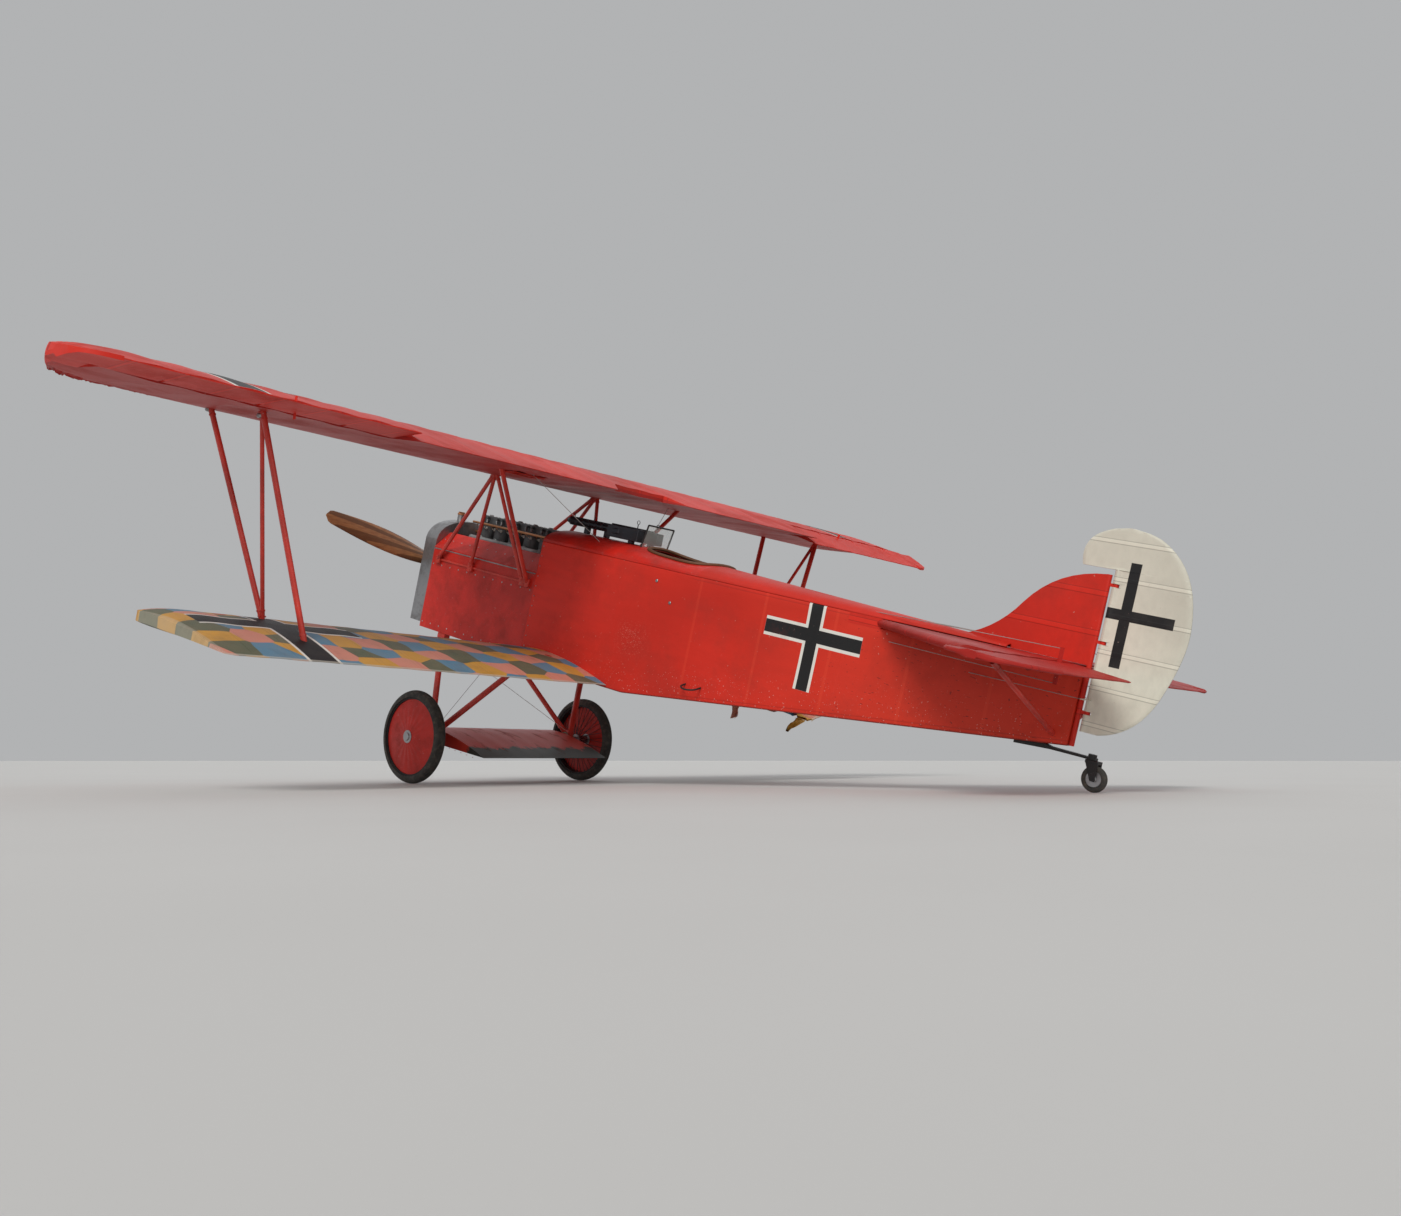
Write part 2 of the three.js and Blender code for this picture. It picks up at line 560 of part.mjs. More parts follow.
// Cabane of one side: three tubes to the front spar and one to the rear spar
function cabane(upper, solids) {
  const front = [600, 830, UPPER.z];
  const rear = [1060, 1440, UPPER.z];
  const feet = [
    // x, y, z of the foot, radius, top
    [HALF_WIDTH + 20, 20, 640, 15, front],
    [HALF_WIDTH + 20, 480, 640, 15, front],
    [HALF_WIDTH + 20, 1180, 640, 15, front],
    [HALF_WIDTH + 20, 1240, 640, 17, rear],
  ];
  const tubes = feet.map(([x, y, z, radius, top]) => bar([x, y, z], top, radius));
  const pads = feet.map(([x, y, z]) => box([HALF_WIDTH + SEAT, x + 8], [y - 30, y + 30], [z - 45, z + 25]));
  const rail = box([HALF_WIDTH + SEAT, HALF_WIDTH + 12], [-10, 1270], [622, 640]);
  return join([...tubes, ...pads, rail]).subtract(moved(upper, 0, 0, -SEAT)).subtract(solids);
}

// Landing gear vee of one side with the shoe that carries the axle
function gearVee() {
  const { x, half, low, high } = SHOE;
  const shoe = box([x - 25, x + 25], [AXLE.y - half, AXLE.y + half], [AXLE.z - low, AXLE.z + high]);
  const legs = GEAR_LEGS.map(({ top, shift }) =>
    bar([345, top, -22], [x, AXLE.y + shift, AXLE.z + 50], LEG_RADIUS));
  const feet = GEAR_LEGS.map(({ pad }) => box([310, 374], pad, [-48, -SEAT]));
  const bore = bar([x - 65, AXLE.y, AXLE.z], [x + 65, AXLE.y, AXLE.z], AXLE.radius + 0.6, 32);
  return join([shoe, ...legs, ...feet]).subtract(bore);
}

// Axle through its own small wing
function axleWing() {
  const { half, leading, chord, thick } = AXLE_WING;
  const wing = sideSolid(wingSection({ leading, chord, z: AXLE.z - 14, thick, camber: 0.02 }), -half, half);
  return wing.add(bar([-AXLE.end, AXLE.y, AXLE.z], [AXLE.end, AXLE.y, AXLE.z], AXLE.radius, 32));
}

// Wheel about the X axis: hub, outboard cover cone and rim, open inboard
function wheelBody() {
  const bore = AXLE.radius + 0.6;
  const inner = RIM_RADIUS - 16;
  const profile = [
    // radius, distance outboard
    [bore, -75], [bore, 32], [0, 32], [0, 78], [44, 78], [54, 62], [inner, 26], [inner + 2, 38],
    [RIM_RADIUS, 38], [RIM_RADIUS, -38], [inner + 2, -38], [inner, 14], [60, 48], [44, 40], [44, -75],
    [bore, -75]];
  const points = profile.reverse().map(([r, out]) => new THREE.Vector2(r, out));
  const geometry = new THREE.LatheGeometry(points, WHEEL_STEPS);
  geometry.rotateZ(-Math.PI / 2);
  return solid(geometry);
}

// Tyre: round tread, flat seat on the rim
function tyreBody(outer, seat, width, sides = 9) {
  const middle = outer - width / 2;
  const half = width / 2;
  const points = [];
  const open = Math.acos(Math.max(-1, (seat - middle) / half));
  for (let i = 0; i <= sides; i += 1) {
    const turn = -open + 2 * open * i / sides;
    points.push(new THREE.Vector2(middle + half * Math.cos(turn), half * Math.sin(turn)));
  }
  points.push(points[0].clone());
  const geometry = new THREE.LatheGeometry(points, WHEEL_STEPS);
  geometry.rotateZ(-Math.PI / 2);
  return solid(geometry);
}

// Hinge lug of the elevator: a disc on the hinge line and its arm from the tailplane
function tailLug(x) {
  const { hinge } = TAILPLANE;
  const radius = ELEVATOR.nose * LUG.radius;
  const disc = bar([x - LUG.half, hinge, TAIL_Z], [x + LUG.half, hinge, TAIL_Z], radius, 16);
  const arm = box([x - LUG.half, x + LUG.half], [hinge - 60, hinge], [TAIL_Z - 9, TAIL_Z + 9]);
  return disc.add(arm);
}

// Tailplane on the fuselage's top, with the lugs that carry the elevator
function tailplaneBody() {
  const { apex, hinge, tip, corner } = TAILPLANE;
  const rear = hinge - ELEVATOR.nose - RUN;
  const plan = [[0, apex], [tip, corner], [tip - 8, rear], [8 - tip, rear], [-tip, corner]];
  const geometry = new THREE.ExtrudeGeometry(shapeOf(plan), {
    depth: 30, bevelEnabled: true, bevelThickness: 15, bevelSize: 14, bevelOffset: -14, bevelSegments: 2 });
  geometry.translate(0, 0, TAIL_SEAT + SEAT + 15);
  const lugs = ELEVATOR_LUGS.flatMap((x) => [tailLug(x), tailLug(-x)]);
  return join([solid(geometry), ...lugs]);
}

// One half of the elevator: outline with balance horn, thin wedge section, rounded nose
function elevatorHalf(notchCorner) {
  const { nose, trailing, outer, hornInner } = ELEVATOR;
  const { hinge } = TAILPLANE;
  const plan = new THREE.Shape();
  plan.moveTo(60, hinge - nose - 4);
  plan.lineTo(hornInner, hinge - nose - 4);
  plan.lineTo(hornInner, 5657);
  plan.lineTo(1300, 5657);
  plan.quadraticCurveTo(outer - 30, 5670, outer, 5920);
  plan.quadraticCurveTo(outer, 6210, 1010, trailing);
  plan.lineTo(238 + notchCorner, trailing - 8);
  plan.quadraticCurveTo(238, trailing - 8, 238 - notchCorner * 0.4, trailing - 8 - notchCorner);
  plan.lineTo(60, 5940);
  const flap = planSolid(plan, TAIL_Z - nose, TAIL_Z + nose);
  const wedge = new THREE.Shape();
  wedge.moveTo(trailing + 10, TAIL_Z - 4);
  wedge.lineTo(trailing + 10, TAIL_Z + 4);
  wedge.lineTo(hinge, TAIL_Z + nose);
  wedge.absarc(hinge, TAIL_Z, nose, Math.PI / 2, 3 * Math.PI / 2, false);
  const tail = sideSolid(wedge, 0, outer + 10);
  const horn = box([hornInner, outer + 10], [5600, hinge], [TAIL_Z - 13, TAIL_Z + 13]);
  return flap.intersect(tail.add(horn));
}

function elevatorBody() {
  const { hinge } = TAILPLANE;
  const tube = bar([-90, hinge, TAIL_Z], [90, hinge, TAIL_Z], 14, 16);
  const slots = ELEVATOR_LUGS.flatMap((x) => [x, -x]).map((x) =>
    box([x - LUG.half - SEAT, x + LUG.half + SEAT], [0, hinge + ELEVATOR.nose + 6], [0, REACH]));
  return join([elevatorHalf(20), mirrored(elevatorHalf(130)), tube]).subtract(join(slots));
}

// Fin on the tailplane, in one with the sternpost and its rudder lugs
function finBody() {
  const outline = new THREE.Shape();
  outline.moveTo(4980, TAILPLANE.top + 2);
  outline.lineTo(STERNPOST.y, TAILPLANE.top + 2);
  outline.lineTo(STERNPOST.y, STERNPOST.top);
  outline.quadraticCurveTo(5600, 1540, 5420, 1300);
  outline.quadraticCurveTo(5260, 1070, 4980, TAILPLANE.top + 2);
  const plate = sideSolid(outline, -16, 16);
  const { y, radius, bottom, top } = STERNPOST;
  const post = bar([0, y, bottom], [0, y, top], radius, 16);
  const { hinge, nose } = RUDDER;
  const lugs = RUDDER_LUGS.map((z) => {
    const disc = bar([0, hinge, z - LUG.half], [0, hinge, z + LUG.half], nose * LUG.radius, 16);
    return disc.add(box([-8, 8], [y, hinge], [z - LUG.half, z + LUG.half]));
  });
  const lifted = box([-20, 20], [4900, STERN], [TAILPLANE.top - 20, TAILPLANE.top + 2]);
  const saddle = deckCone(WELL.to, DECK_END, SEAT);
  return join([plate.subtract(lifted).subtract(saddle), post, ...lugs]);
}

// Rudder with a rounded balance over the fin, in place
function rudderBody() {
  const { hinge, nose, half } = RUDDER;
  const outline = new THREE.Shape();
  outline.moveTo(hinge, 605);
  outline.lineTo(6060, 605);
  outline.quadraticCurveTo(6300, 660, 6390, 950);
  outline.quadraticCurveTo(6470, 1180, 6455, 1330);
  outline.quadraticCurveTo(6430, 1680, 6180, 1810);
  outline.quadraticCurveTo(5960, 1900, 5790, 1790);
  outline.quadraticCurveTo(5700, 1720, 5740, 1595);
  outline.lineTo(hinge, 1595);
  const plate = sideSolid(outline, -half, half);
  const tube = bar([0, hinge, 605], [0, hinge, 1600], nose, 20);
  const slots = RUDDER_LUGS.map((z) =>
    box([-REACH, REACH], [0, hinge + nose + 6], [z - LUG.half - SEAT, z + LUG.half + SEAT]));
  return plate.add(tube).subtract(join(slots));
}

// Strut under one side of the tailplane
function tailStrut(tailplane, fuselage) {
  const tube = bar([20, 5800, 540], [1000, 5795, TAIL_SEAT + 25], 15);
  return tube.subtract(moved(tailplane, 0, 0, -SEAT)).subtract(
    moved(fuselage, SEAT, 0, 0)).subtract(fuselage);
}

// Leaf spring under the stern that carries the tail wheel's swivel
function tailSpring() {
  const seat = (y) => bellyAt(y) - SEAT - 0.2;
  const end = SWIVEL.y + 28;
  const leaf = sideSolid([
    [5560, seat(5560)], [5760, seat(5760)], [5800, 470], [end, SWIVEL.top + 16], [end, SWIVEL.top],
    [SWIVEL.y - 60, SWIVEL.top], [5800, 452], [5560, bellyAt(5560) - 18]], -24, 24);
  return leaf.add(bar([0, SWIVEL.y, SWIVEL.top], [0, SWIVEL.y, SWIVEL.top + 34], 26, 20));
}

// Fork on the swivel, its two cheeks ending in pins for the wheel
function tailFork() {
  const { y, z, half } = TAIL_WHEEL;
  const crown = box([-36, 36], [SWIVEL.y - 26, y + 14], [SWIVEL.top - 18, SWIVEL.top - SEAT]);
  const top = SWIVEL.top - 10;
  const outline = [[SWIVEL.y - 26, top], [y + 14, top], [y + 14, z - 14], [y - 14, z - 14]];
  const cheek = sideSolid(outline, half + 8, half + 16);
  const pin = bar([half + SEAT, y, z], [half + 16, y, z], 9, 16);
  return join([crown, cheek, mirrored(cheek), pin, mirrored(pin)]);
}

function seatBody() {
  const pan = box([-200, 200], [2540, 2920], [380, 410]);
  const back = box([-200, 200], [2890, 2920], [380, 800]);
  const stand = box([-150, 150], [2600, 2860], [WELL.floor + SEAT, 385]);
  const sides = box([-200, -180], [2640, 2900], [400, 540]).add(box([180, 200], [2640, 2900], [400, 540]));
  return join([pan, back, stand, sides]);
}

function controlStick() {
  const base = box([-40, 40], [2440, 2520], [WELL.floor + SEAT, WELL.floor + 40]);
  const shaft = bar([0, 2480, WELL.floor + 20], [0, 2500, 660], 13, 12);
  const grip = bar([-70, 2500, 660], [70, 2500, 660], 14, 12);
  return join([base, shaft, grip]);
}

function rudderBar() {
  const post = bar([0, 2330, WELL.floor + SEAT], [0, 2330, 175], 18, 12);
  return post.add(box([-260, 260], [2312, 2348], [165, 190]));
}

// Fixed machine gun on its two mounting feet, ended on the decking
function gunBody(x) {
  const receiver = box([x - 38, x + 38], [1800, 2150], [1150, 1262]);
  const jacket = bar([x, 1330, 1215], [x, 1810, 1215], 36, 16);
  const muzzle = bar([x, 1290, 1215], [x, 1340, 1215], 20, 12);
  const feet = [1540, 2060].map((y) => box([x - 22, x + 22], [y - 20, y + 20], [1080, 1190]));
  return join([receiver, jacket, muzzle, ...feet]).subtract(deckMass(SEAT));
}

function windscreen() {
  const plate = sideSolid([[2205, 1090], [2213, 1090], [2253, 1300], [2245, 1300]], -150, 150);
  return plate.subtract(deckMass(SEAT));
}

// Bent rod that stands out of a side wall and goes back into it
function rodLoop({ side, y, reach, high, low }) {
  const wall = side * halfWidthAt(y);
  const bend = reach * 0.67;
  const way = [
    // outward, y from the middle, z
    [-8, -70, high], [bend, -62, low + 10], [reach, 0, low], [bend, 62, low + 10], [-8, 70, high]];
  const points = way.map(([out, along, z]) => new THREE.Vector3(wall + side * out, y + along, z));
  const path = new THREE.CatmullRomCurve3(points, false, 'centripetal');
  const ring = new THREE.Shape();
  ring.absarc(0, 0, 7, 0, 2 * Math.PI, false);
  const settings = { steps: 12, bevelEnabled: false, extrudePath: path, curveSegments: 4 };
  const rod = solid(new THREE.ExtrudeGeometry(ring, settings));
  return rod.subtract(moved(fuselage, side * SEAT, 0, 0)).subtract(fuselage);
}

// Puts a solid into the scene as a named mesh whose own origin is at a chosen point
function place(parent, name, body, material, origin = [0, 0, 0]) {
  const mesh = new THREE.Mesh(geometryOf(body, origin), material);
  mesh.name = name;
  mesh.position.set(...origin);
  parent.add(mesh);
  return mesh;
}

const airframe = new THREE.Group();
const fuselage = fuselageBody();
const upper = upperWing();
const lowerLeft = lowerWingLeft();
const lowerRight = lowerWingRight();
const tailplane = tailplaneBody();
const shoulder = shoulderCowl();

place(airframe, 'fuselage', fuselage, RED);
place(airframe, 'fore_decking', foreDeck(), RED);
place(airframe, 'turtle_decking', deckShell(WELL.to + SEAT, DECK_END), RED);
place(airframe, 'cockpit_rim', cockpitRim(), LEATHER);
place(airframe, 'radiator', radiatorBody(), STEEL);
place(airframe, 'engine_block', engineBlock(), IRON);
place(airframe, 'cylinder_row', cylinderRow(), IRON);
place(airframe, 'exhaust', exhaustPipe(), IRON);
place(airframe, 'intake', intakePipe(), STEEL);
place(airframe, 'cowl_side_left', sideCowl(), RED);
place(airframe, 'cowl_side_right', mirrored(sideCowl()), RED);
place(airframe, 'cowl_shoulder_left', shoulder, RED);
place(airframe, 'cowl_shoulder_right', mirrored(shoulder), RED);
place(airframe, 'chin_panel', chinPanel(), DARK_RED);
place(airframe, 'upper_wing', upper, RED);
place(airframe, 'lower_wing_left', lowerLeft, LOZENGE);
place(airframe, 'lower_wing_right', lowerRight, LOZENGE);
place(airframe, 'lower_wing_right_tip', lowerTip(), LOZENGE);
place(airframe, 'interplane_strut_left', interplane(INTERPLANE.left, upper, lowerLeft), STRUT_RED);
place(airframe, 'interplane_strut_right', interplane(INTERPLANE.right, upper, lowerRight), STRUT_RED);
const cabaneLeft = cabane(upper, shoulder);
place(airframe, 'cabane_left', cabaneLeft, STRUT_RED);
place(airframe, 'cabane_right', mirrored(cabaneLeft), STRUT_RED);
place(airframe, 'gear_vee_left', gearVee(), STRUT_RED);
place(airframe, 'gear_vee_right', mirrored(gearVee()), STRUT_RED);
place(airframe, 'axle_wing', axleWing(), RED);
place(airframe, 'tailplane', tailplane, DARK_RED);
place(airframe, 'fin', finBody(), RED);
const strutLeft = tailStrut(tailplane, fuselage);
place(airframe, 'tail_strut_left', strutLeft, STRUT_RED);
place(airframe, 'tail_strut_right', mirrored(strutLeft), STRUT_RED);
place(airframe, 'tail_spring', tailSpring(), BLACK);
place(airframe, 'seat', seatBody(), STEEL);
place(airframe, 'control_stick', controlStick(), BLACK);
place(airframe, 'rudder_bar', rudderBar(), WOOD);
const panel = box([-260, 260], [WELL.from + SEAT, WELL.from + 14], [720, 985]);
place(airframe, 'instrument_panel', panel, WOOD);
place(airframe, 'gun_left', gunBody(115), IRON);
place(airframe, 'gun_right', gunBody(-115), IRON);
place(airframe, 'windscreen', windscreen(), GLASS);

place(airframe, 'foot_step', rodLoop(FOOT_STEP), BLACK);
place(airframe, 'lift_loop', rodLoop(LIFT_LOOP), BLACK);

// Pieces that turn, each with its own origin on its axis
const hingeAt = [AILERON.inner, AILERON.hinge, AILERON.z];
const aileronLeft = place(airframe, 'aileron_left', aileronBody(), RED, hingeAt);
aileronLeft.rotation.x = AILERON.rest * RAD;
const hingeRight = [-AILERON.inner, AILERON.hinge, AILERON.z];
const aileronRight = place(airframe, 'aileron_right', mirrored(aileronBody()), RED, hingeRight);
aileronRight.rotation.x = -AILERON.rest * RAD;
place(airframe, 'elevator', elevatorBody(), DARK_RED, [0, TAILPLANE.hinge, TAIL_Z]);
place(airframe, 'rudder', rudderBody(), CREAM, [0, RUDDER.hinge, 1200]);
const propeller = new THREE.Mesh(geometryOf(propellerBody()), WOOD);
propeller.name = 'propeller';
propeller.position.set(0, PROPELLER.y, THRUST_Z);
propeller.rotation.y = PROPELLER_TURN * RAD;
airframe.add(propeller);
[[1, 'left'], [-1, 'right']].forEach(([side, name]) => {
  const tyre = tyreBody(TYRE.radius, RIM_RADIUS + SEAT, TYRE.width);
  const parts = [['wheel', wheelBody(), RED], ['tyre', tyre, RUBBER]];
  parts.forEach(([part, body, material]) => {
    const mesh = new THREE.Mesh(geometryOf(side > 0 ? body : mirrored(body)), material);
    mesh.name = `${part}_${name}`;
    mesh.position.set(side * TRACK_HALF, AXLE.y, AXLE.z);
    airframe.add(mesh);
  });
});
place(airframe, 'tail_fork', tailFork(), BLACK, [0, SWIVEL.y, SWIVEL.top]);
const tailWheel = bar([-TAIL_WHEEL.half, 0, 0], [TAIL_WHEEL.half, 0, 0], TAIL_WHEEL.radius, 32);
const tailWheelMesh = new THREE.Mesh(geometryOf(tailWheel), RUBBER);
tailWheelMesh.name = 'tail_wheel';
tailWheelMesh.position.set(0, TAIL_WHEEL.y, TAIL_WHEEL.z);
airframe.add(tailWheelMesh);

// Parked attitude: the line under the main tyres and the tail wheel is level
const run = TAIL_WHEEL.y - AXLE.y;
const rise = TAIL_WHEEL.z - AXLE.z;
const noseUp = Math.atan2(rise, run) + Math.asin((TYRE.radius - TAIL_WHEEL.radius) / Math.hypot(run, rise));
airframe.rotation.x = -noseUp;
airframe.updateMatrixWorld(true);
const bounds = new THREE.Box3().setFromObject(airframe, true);
airframe.position.set(0, -(bounds.min.y + bounds.max.y) / 2, -bounds.min.z);

const group = new THREE.Group();
group.add(airframe);

export default group;
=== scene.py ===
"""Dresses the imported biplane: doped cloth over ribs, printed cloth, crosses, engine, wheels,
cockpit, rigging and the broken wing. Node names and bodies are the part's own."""
import math
import bmesh
import bpy
import numpy as np
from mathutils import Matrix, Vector


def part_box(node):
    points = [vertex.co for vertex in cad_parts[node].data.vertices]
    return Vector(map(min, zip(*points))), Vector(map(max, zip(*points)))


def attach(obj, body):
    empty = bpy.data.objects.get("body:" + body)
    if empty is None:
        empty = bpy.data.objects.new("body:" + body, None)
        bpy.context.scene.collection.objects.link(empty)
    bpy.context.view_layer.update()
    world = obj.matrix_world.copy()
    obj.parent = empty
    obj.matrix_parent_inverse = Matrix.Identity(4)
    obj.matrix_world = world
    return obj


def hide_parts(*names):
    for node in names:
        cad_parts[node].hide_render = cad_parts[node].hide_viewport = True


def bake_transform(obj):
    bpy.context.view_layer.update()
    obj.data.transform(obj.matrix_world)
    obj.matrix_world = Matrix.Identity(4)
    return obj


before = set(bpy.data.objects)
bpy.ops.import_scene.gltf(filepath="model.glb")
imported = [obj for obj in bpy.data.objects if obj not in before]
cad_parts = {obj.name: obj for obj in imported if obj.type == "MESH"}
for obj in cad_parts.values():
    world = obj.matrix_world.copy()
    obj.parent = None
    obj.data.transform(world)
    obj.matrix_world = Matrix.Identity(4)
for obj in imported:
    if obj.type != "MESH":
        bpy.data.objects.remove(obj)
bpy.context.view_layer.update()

# Body frame in metres: x to port, y aft, z up, and the flat belly is z = 0
MAIN_HUB = np.array([0.955, 0.9, -0.78])
TAIL_HUB = np.array([0.0, 6.1, 0.35])
# Fuselage: half widths, where it tapers, ends and starts; its top, and its belly's rise
HALF_WIDTH, STERN_HALF, TAPER, STERN, FIREWALL = 0.375, 0.03, 2.3, 5.9, 1.3202
TOP, TAIL_SEAT, TAIL_SEAT_FROM, RISE, STERN_BOTTOM = 1.0, 0.937, 4.29, 2.5, 0.5
WELL, WELL_FLOOR, WALL, DECK_RISE = (2.25, 3.0), 0.12, 0.035, 0.13
# Wings: sections, trailing edges, tip, and the open hatch under the port upper wing
UPPER = dict(leading=0.516, chord=1.604, level=1.52, thick=0.13, camber=0.03)
LOWER = dict(leading=1.159, chord=1.203, level=0.02, thick=0.13, camber=0.03)
UPPER_TRAILING, LOWER_TRAILING = 2.12, 2.362
UPPER_TIP, DIHEDRAL = 4.24, math.tan(math.radians(0.6))
HATCH_X, HATCH_Y, HATCH_TOP = (0.70, 1.01), (1.417, 1.557), 1.545
AILERON = dict(inner=2.3, outer=4.47, hinge=1.8, z=1.551, nose=0.038, rest=10)
AILERON_HORN_FROM, ELEVATOR_HORN_FROM, BALANCE_FROM = 4.252, 1.128, 1.595
AILERON_LUGS, ELEVATOR_LUGS, RUDDER_LUGS = (2.7, 3.3, 3.9), (0.35, 0.85), (0.72, 1.15, 1.5)
LUG_SLOT = 0.0103
TAILPLANE = dict(apex=4.3, hinge=5.86, tip=1.088, corner=5.625, z=0.968)
RUDDER_HINGE = 5.97
RIB_PITCH, TAIL_RIB_PITCH, RUDDER_RIB_PITCH = 0.3, 0.26, 0.22
FRAME_PITCH, FIRST_FRAME = 0.58, 1.3
# Engine: cylinders, exhaust and intake lines, camshaft housing
CYLINDERS = 0.15 + 0.205 * np.arange(6)
EXHAUST_X, EXHAUST_Z, INTAKE_X, INTAKE_Z, HOUSING_TOP = -0.262, 0.938, 0.165, 0.88, 1.1
# Propeller's height, place and angle, the wheels' spokes, the guns' axes
THRUST, PROPELLER_Y, PROPELLER_TURN = 0.55, -0.4, math.radians(78)
SPOKES, GUN_X, GUN_Z = 40, 0.115, 1.215
SIDES = ((1, "left"), (-1, "right"))
STEP = 1e-4


def middle(node):
    """Middle of a node's box: half the sum of its low and high corners."""
    low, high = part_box(node)
    return (np.array(low) + np.array(high)) / 2


def slope(a, b):
    """Angle of the line from a to b seen from the side: the arctangent of its rise over its run aft."""
    return math.atan2(b[2] - a[2], b[1] - a[1])


NOSE_UP = slope(MAIN_HUB, TAIL_HUB) - slope(middle("tyre_left"), middle("tail_wheel"))
COS, SIN = math.cos(NOSE_UP), math.sin(NOSE_UP)
TURN = np.array([[1, 0, 0], [0, COS, SIN], [0, -SIN, COS]])
SHIFT = middle("tyre_left") - TURN @ MAIN_HUB


def parked(points):
    """Body frame to parked frame: turned nose up about x, then lifted onto the wheels."""
    return np.asarray(points, float) @ TURN.T + SHIFT


# Shapes as (points, faces) pairs
def bend(a, control, b, steps=10):
    """Parabola from a to b that leaves and arrives along the lines to its control point."""
    t = np.linspace(0, 1, steps + 1)[:, None]
    a, control, b = (np.asarray(p, float) for p in (a, control, b))
    return (1 - t) ** 2 * a + 2 * t * (1 - t) * control + t**2 * b


def spread(a, b, count):
    """Evenly spaced points on the straight line from a to b."""
    return np.linspace(np.asarray(a, float), np.asarray(b, float), count)


def skin(rings, caps=True, closed=False):
    """Quads between rings of points; the ends get a flat face each, or the last ring joins the first."""
    rings = np.asarray(rings, float)
    rows, columns = rings.shape[:2]
    i, j = np.meshgrid(np.arange(rows - (not closed)), np.arange(columns), indexing="ij")
    i2, j2 = (i + 1) % rows, (j + 1) % columns
    corners = [i * columns + j, i2 * columns + j, i2 * columns + j2, i * columns + j2]
    faces = np.stack(corners, -1).reshape(-1, 4).tolist()
    if caps and not closed:
        faces += [list(range(columns)), list(range((rows - 1) * columns, rows * columns))]
    return rings.reshape(-1, 3), faces


def merged(shapes):
    """Several shapes as one: points stacked, each face's numbers raised by the points before it."""
    points, faces, start = [], [], 0
    for p, f in shapes:
        points.append(p)
        faces += [[k + start for k in face] for face in f]
        start += len(p)
    return np.concatenate(points), faces


def moved(shape, change):
    """A shape with all its points passed through a change."""
    return change(shape[0]), shape[1]


def flipped(shape):
    """Mirror image of a shape: x with its sign turned."""
    return shape[0] * [-1, 1, 1], shape[1]


def handed(shapes, side):
    """Shapes made for port, as they are on side 1 and mirrored on side -1."""
    return list(shapes) if side > 0 else [flipped(shape) for shape in shapes]


def paired(shapes):
    """Shapes and their mirror images."""
    return [*shapes, *map(flipped, shapes)]


def unit(v):
    """Vectors divided by their own lengths."""
    v = np.asarray(v, float)
    return v / np.linalg.norm(v, axis=-1, keepdims=True)


def tube(path, radius, sides=12, chord=None):
    """Round or elliptic section carried square to a path: radius times cosine to one side and sine
    to the other; a chord widens it along the part of y that is square to the path."""
    path = np.asarray(path, float)
    way = unit(np.gradient(path, axis=0))
    hint = np.array([0.0, 1.0, 0.0]) if chord else np.array([0.31, 0.23, 0.92])
    over = unit(hint - (way @ hint)[:, None] * way)
    side = np.cross(way, over)
    turn = np.linspace(0, 2 * np.pi, sides, endpoint=False)[None, :, None]
    across = np.broadcast_to(np.asarray(radius, float), (len(path),))[:, None, None]
    along = across if chord is None else chord / 2
    ring = across * np.cos(turn) * side[:, None] + along * np.sin(turn) * over[:, None]
    return skin(path[:, None] + ring)


def rod(a, b, radius, sides=10, chord=None, steps=2):
    """Tube on the straight line from a to b."""
    return tube(spread(a, b, steps), radius, sides, chord)


def turned(profile, centre, axis, steps=48, closed=False):
    """Profile of (radius, distance along the axis) spun about the axis through the centre."""
    axis = unit(axis)
    first = unit(np.cross(axis, [0.3, 0.2, 0.93]))
    second = np.cross(axis, first)
    turn = np.linspace(0, 2 * np.pi, steps, endpoint=False)[None, :, None]
    r, along = np.asarray(profile, float).T
    ring = r[:, None, None] * (np.cos(turn) * first + np.sin(turn) * second)
    return skin(np.asarray(centre) + ring + along[:, None, None] * axis, closed=closed)


def disc(centre, axis, radius, low, high, steps=24, soft=0.0):
    """Short cylinder between two distances along its axis, its rims cut back by soft."""
    rim = [(0, low), (radius - soft, low), (radius, low + soft),
           (radius, high - soft), (radius - soft, high), (0, high)]
    return turned(rim, centre, axis, steps)


def block(low, high, soft=0.004):
    """Box with every edge cut back: four rings of eight points, the end rings drawn in."""
    (x0, y0, z0), (x1, y1, z1) = low, high
    s, rings = soft, []
    for z, inset in ((z0, s), (z0 + s, 0), (z1 - s, 0), (z1, s)):
        a, b, c, d = x0 + inset, x1 - inset, y0 + inset, y1 - inset
        rings.append([(a + s, c, z), (b - s, c, z), (b, c + s, z), (b, d - s, z),
                      (b - s, d, z), (a + s, d, z), (a, d - s, z), (a, c + s, z)])
    return skin(rings)


def sheeted(grid, thickness):
    """Thin shell: a grid of points and its copy pushed along the surface's normal, joined all round."""
    normal = unit(np.cross(np.gradient(grid, axis=0), np.gradient(grid, axis=1)))
    return skin(np.concatenate([grid, (grid + normal * thickness)[:, ::-1]], axis=1))


def studs(start, end, count, axis, radius=0.007, height=0.004, steps=8):
    """A straight row of low domed heads, each a four-step profile spun about the axis."""
    dome = [(radius, -0.001), (radius, height * 0.35), (radius * 0.6, height * 0.85), (0, height)]
    return [turned(dome, spot, axis, steps) for spot in spread(start, end, count)]


def coil(foot, height, radius, turns, wire):
    """Spring about z: cosine and sine of the turn for x and y, and a height that rises evenly."""
    t = np.linspace(0, turns * 2 * np.pi, int(turns * 11))
    helix = np.stack([radius * np.cos(t), radius * np.sin(t), height * t / t[-1]], -1)
    return tube(helix + foot, wire, 5)


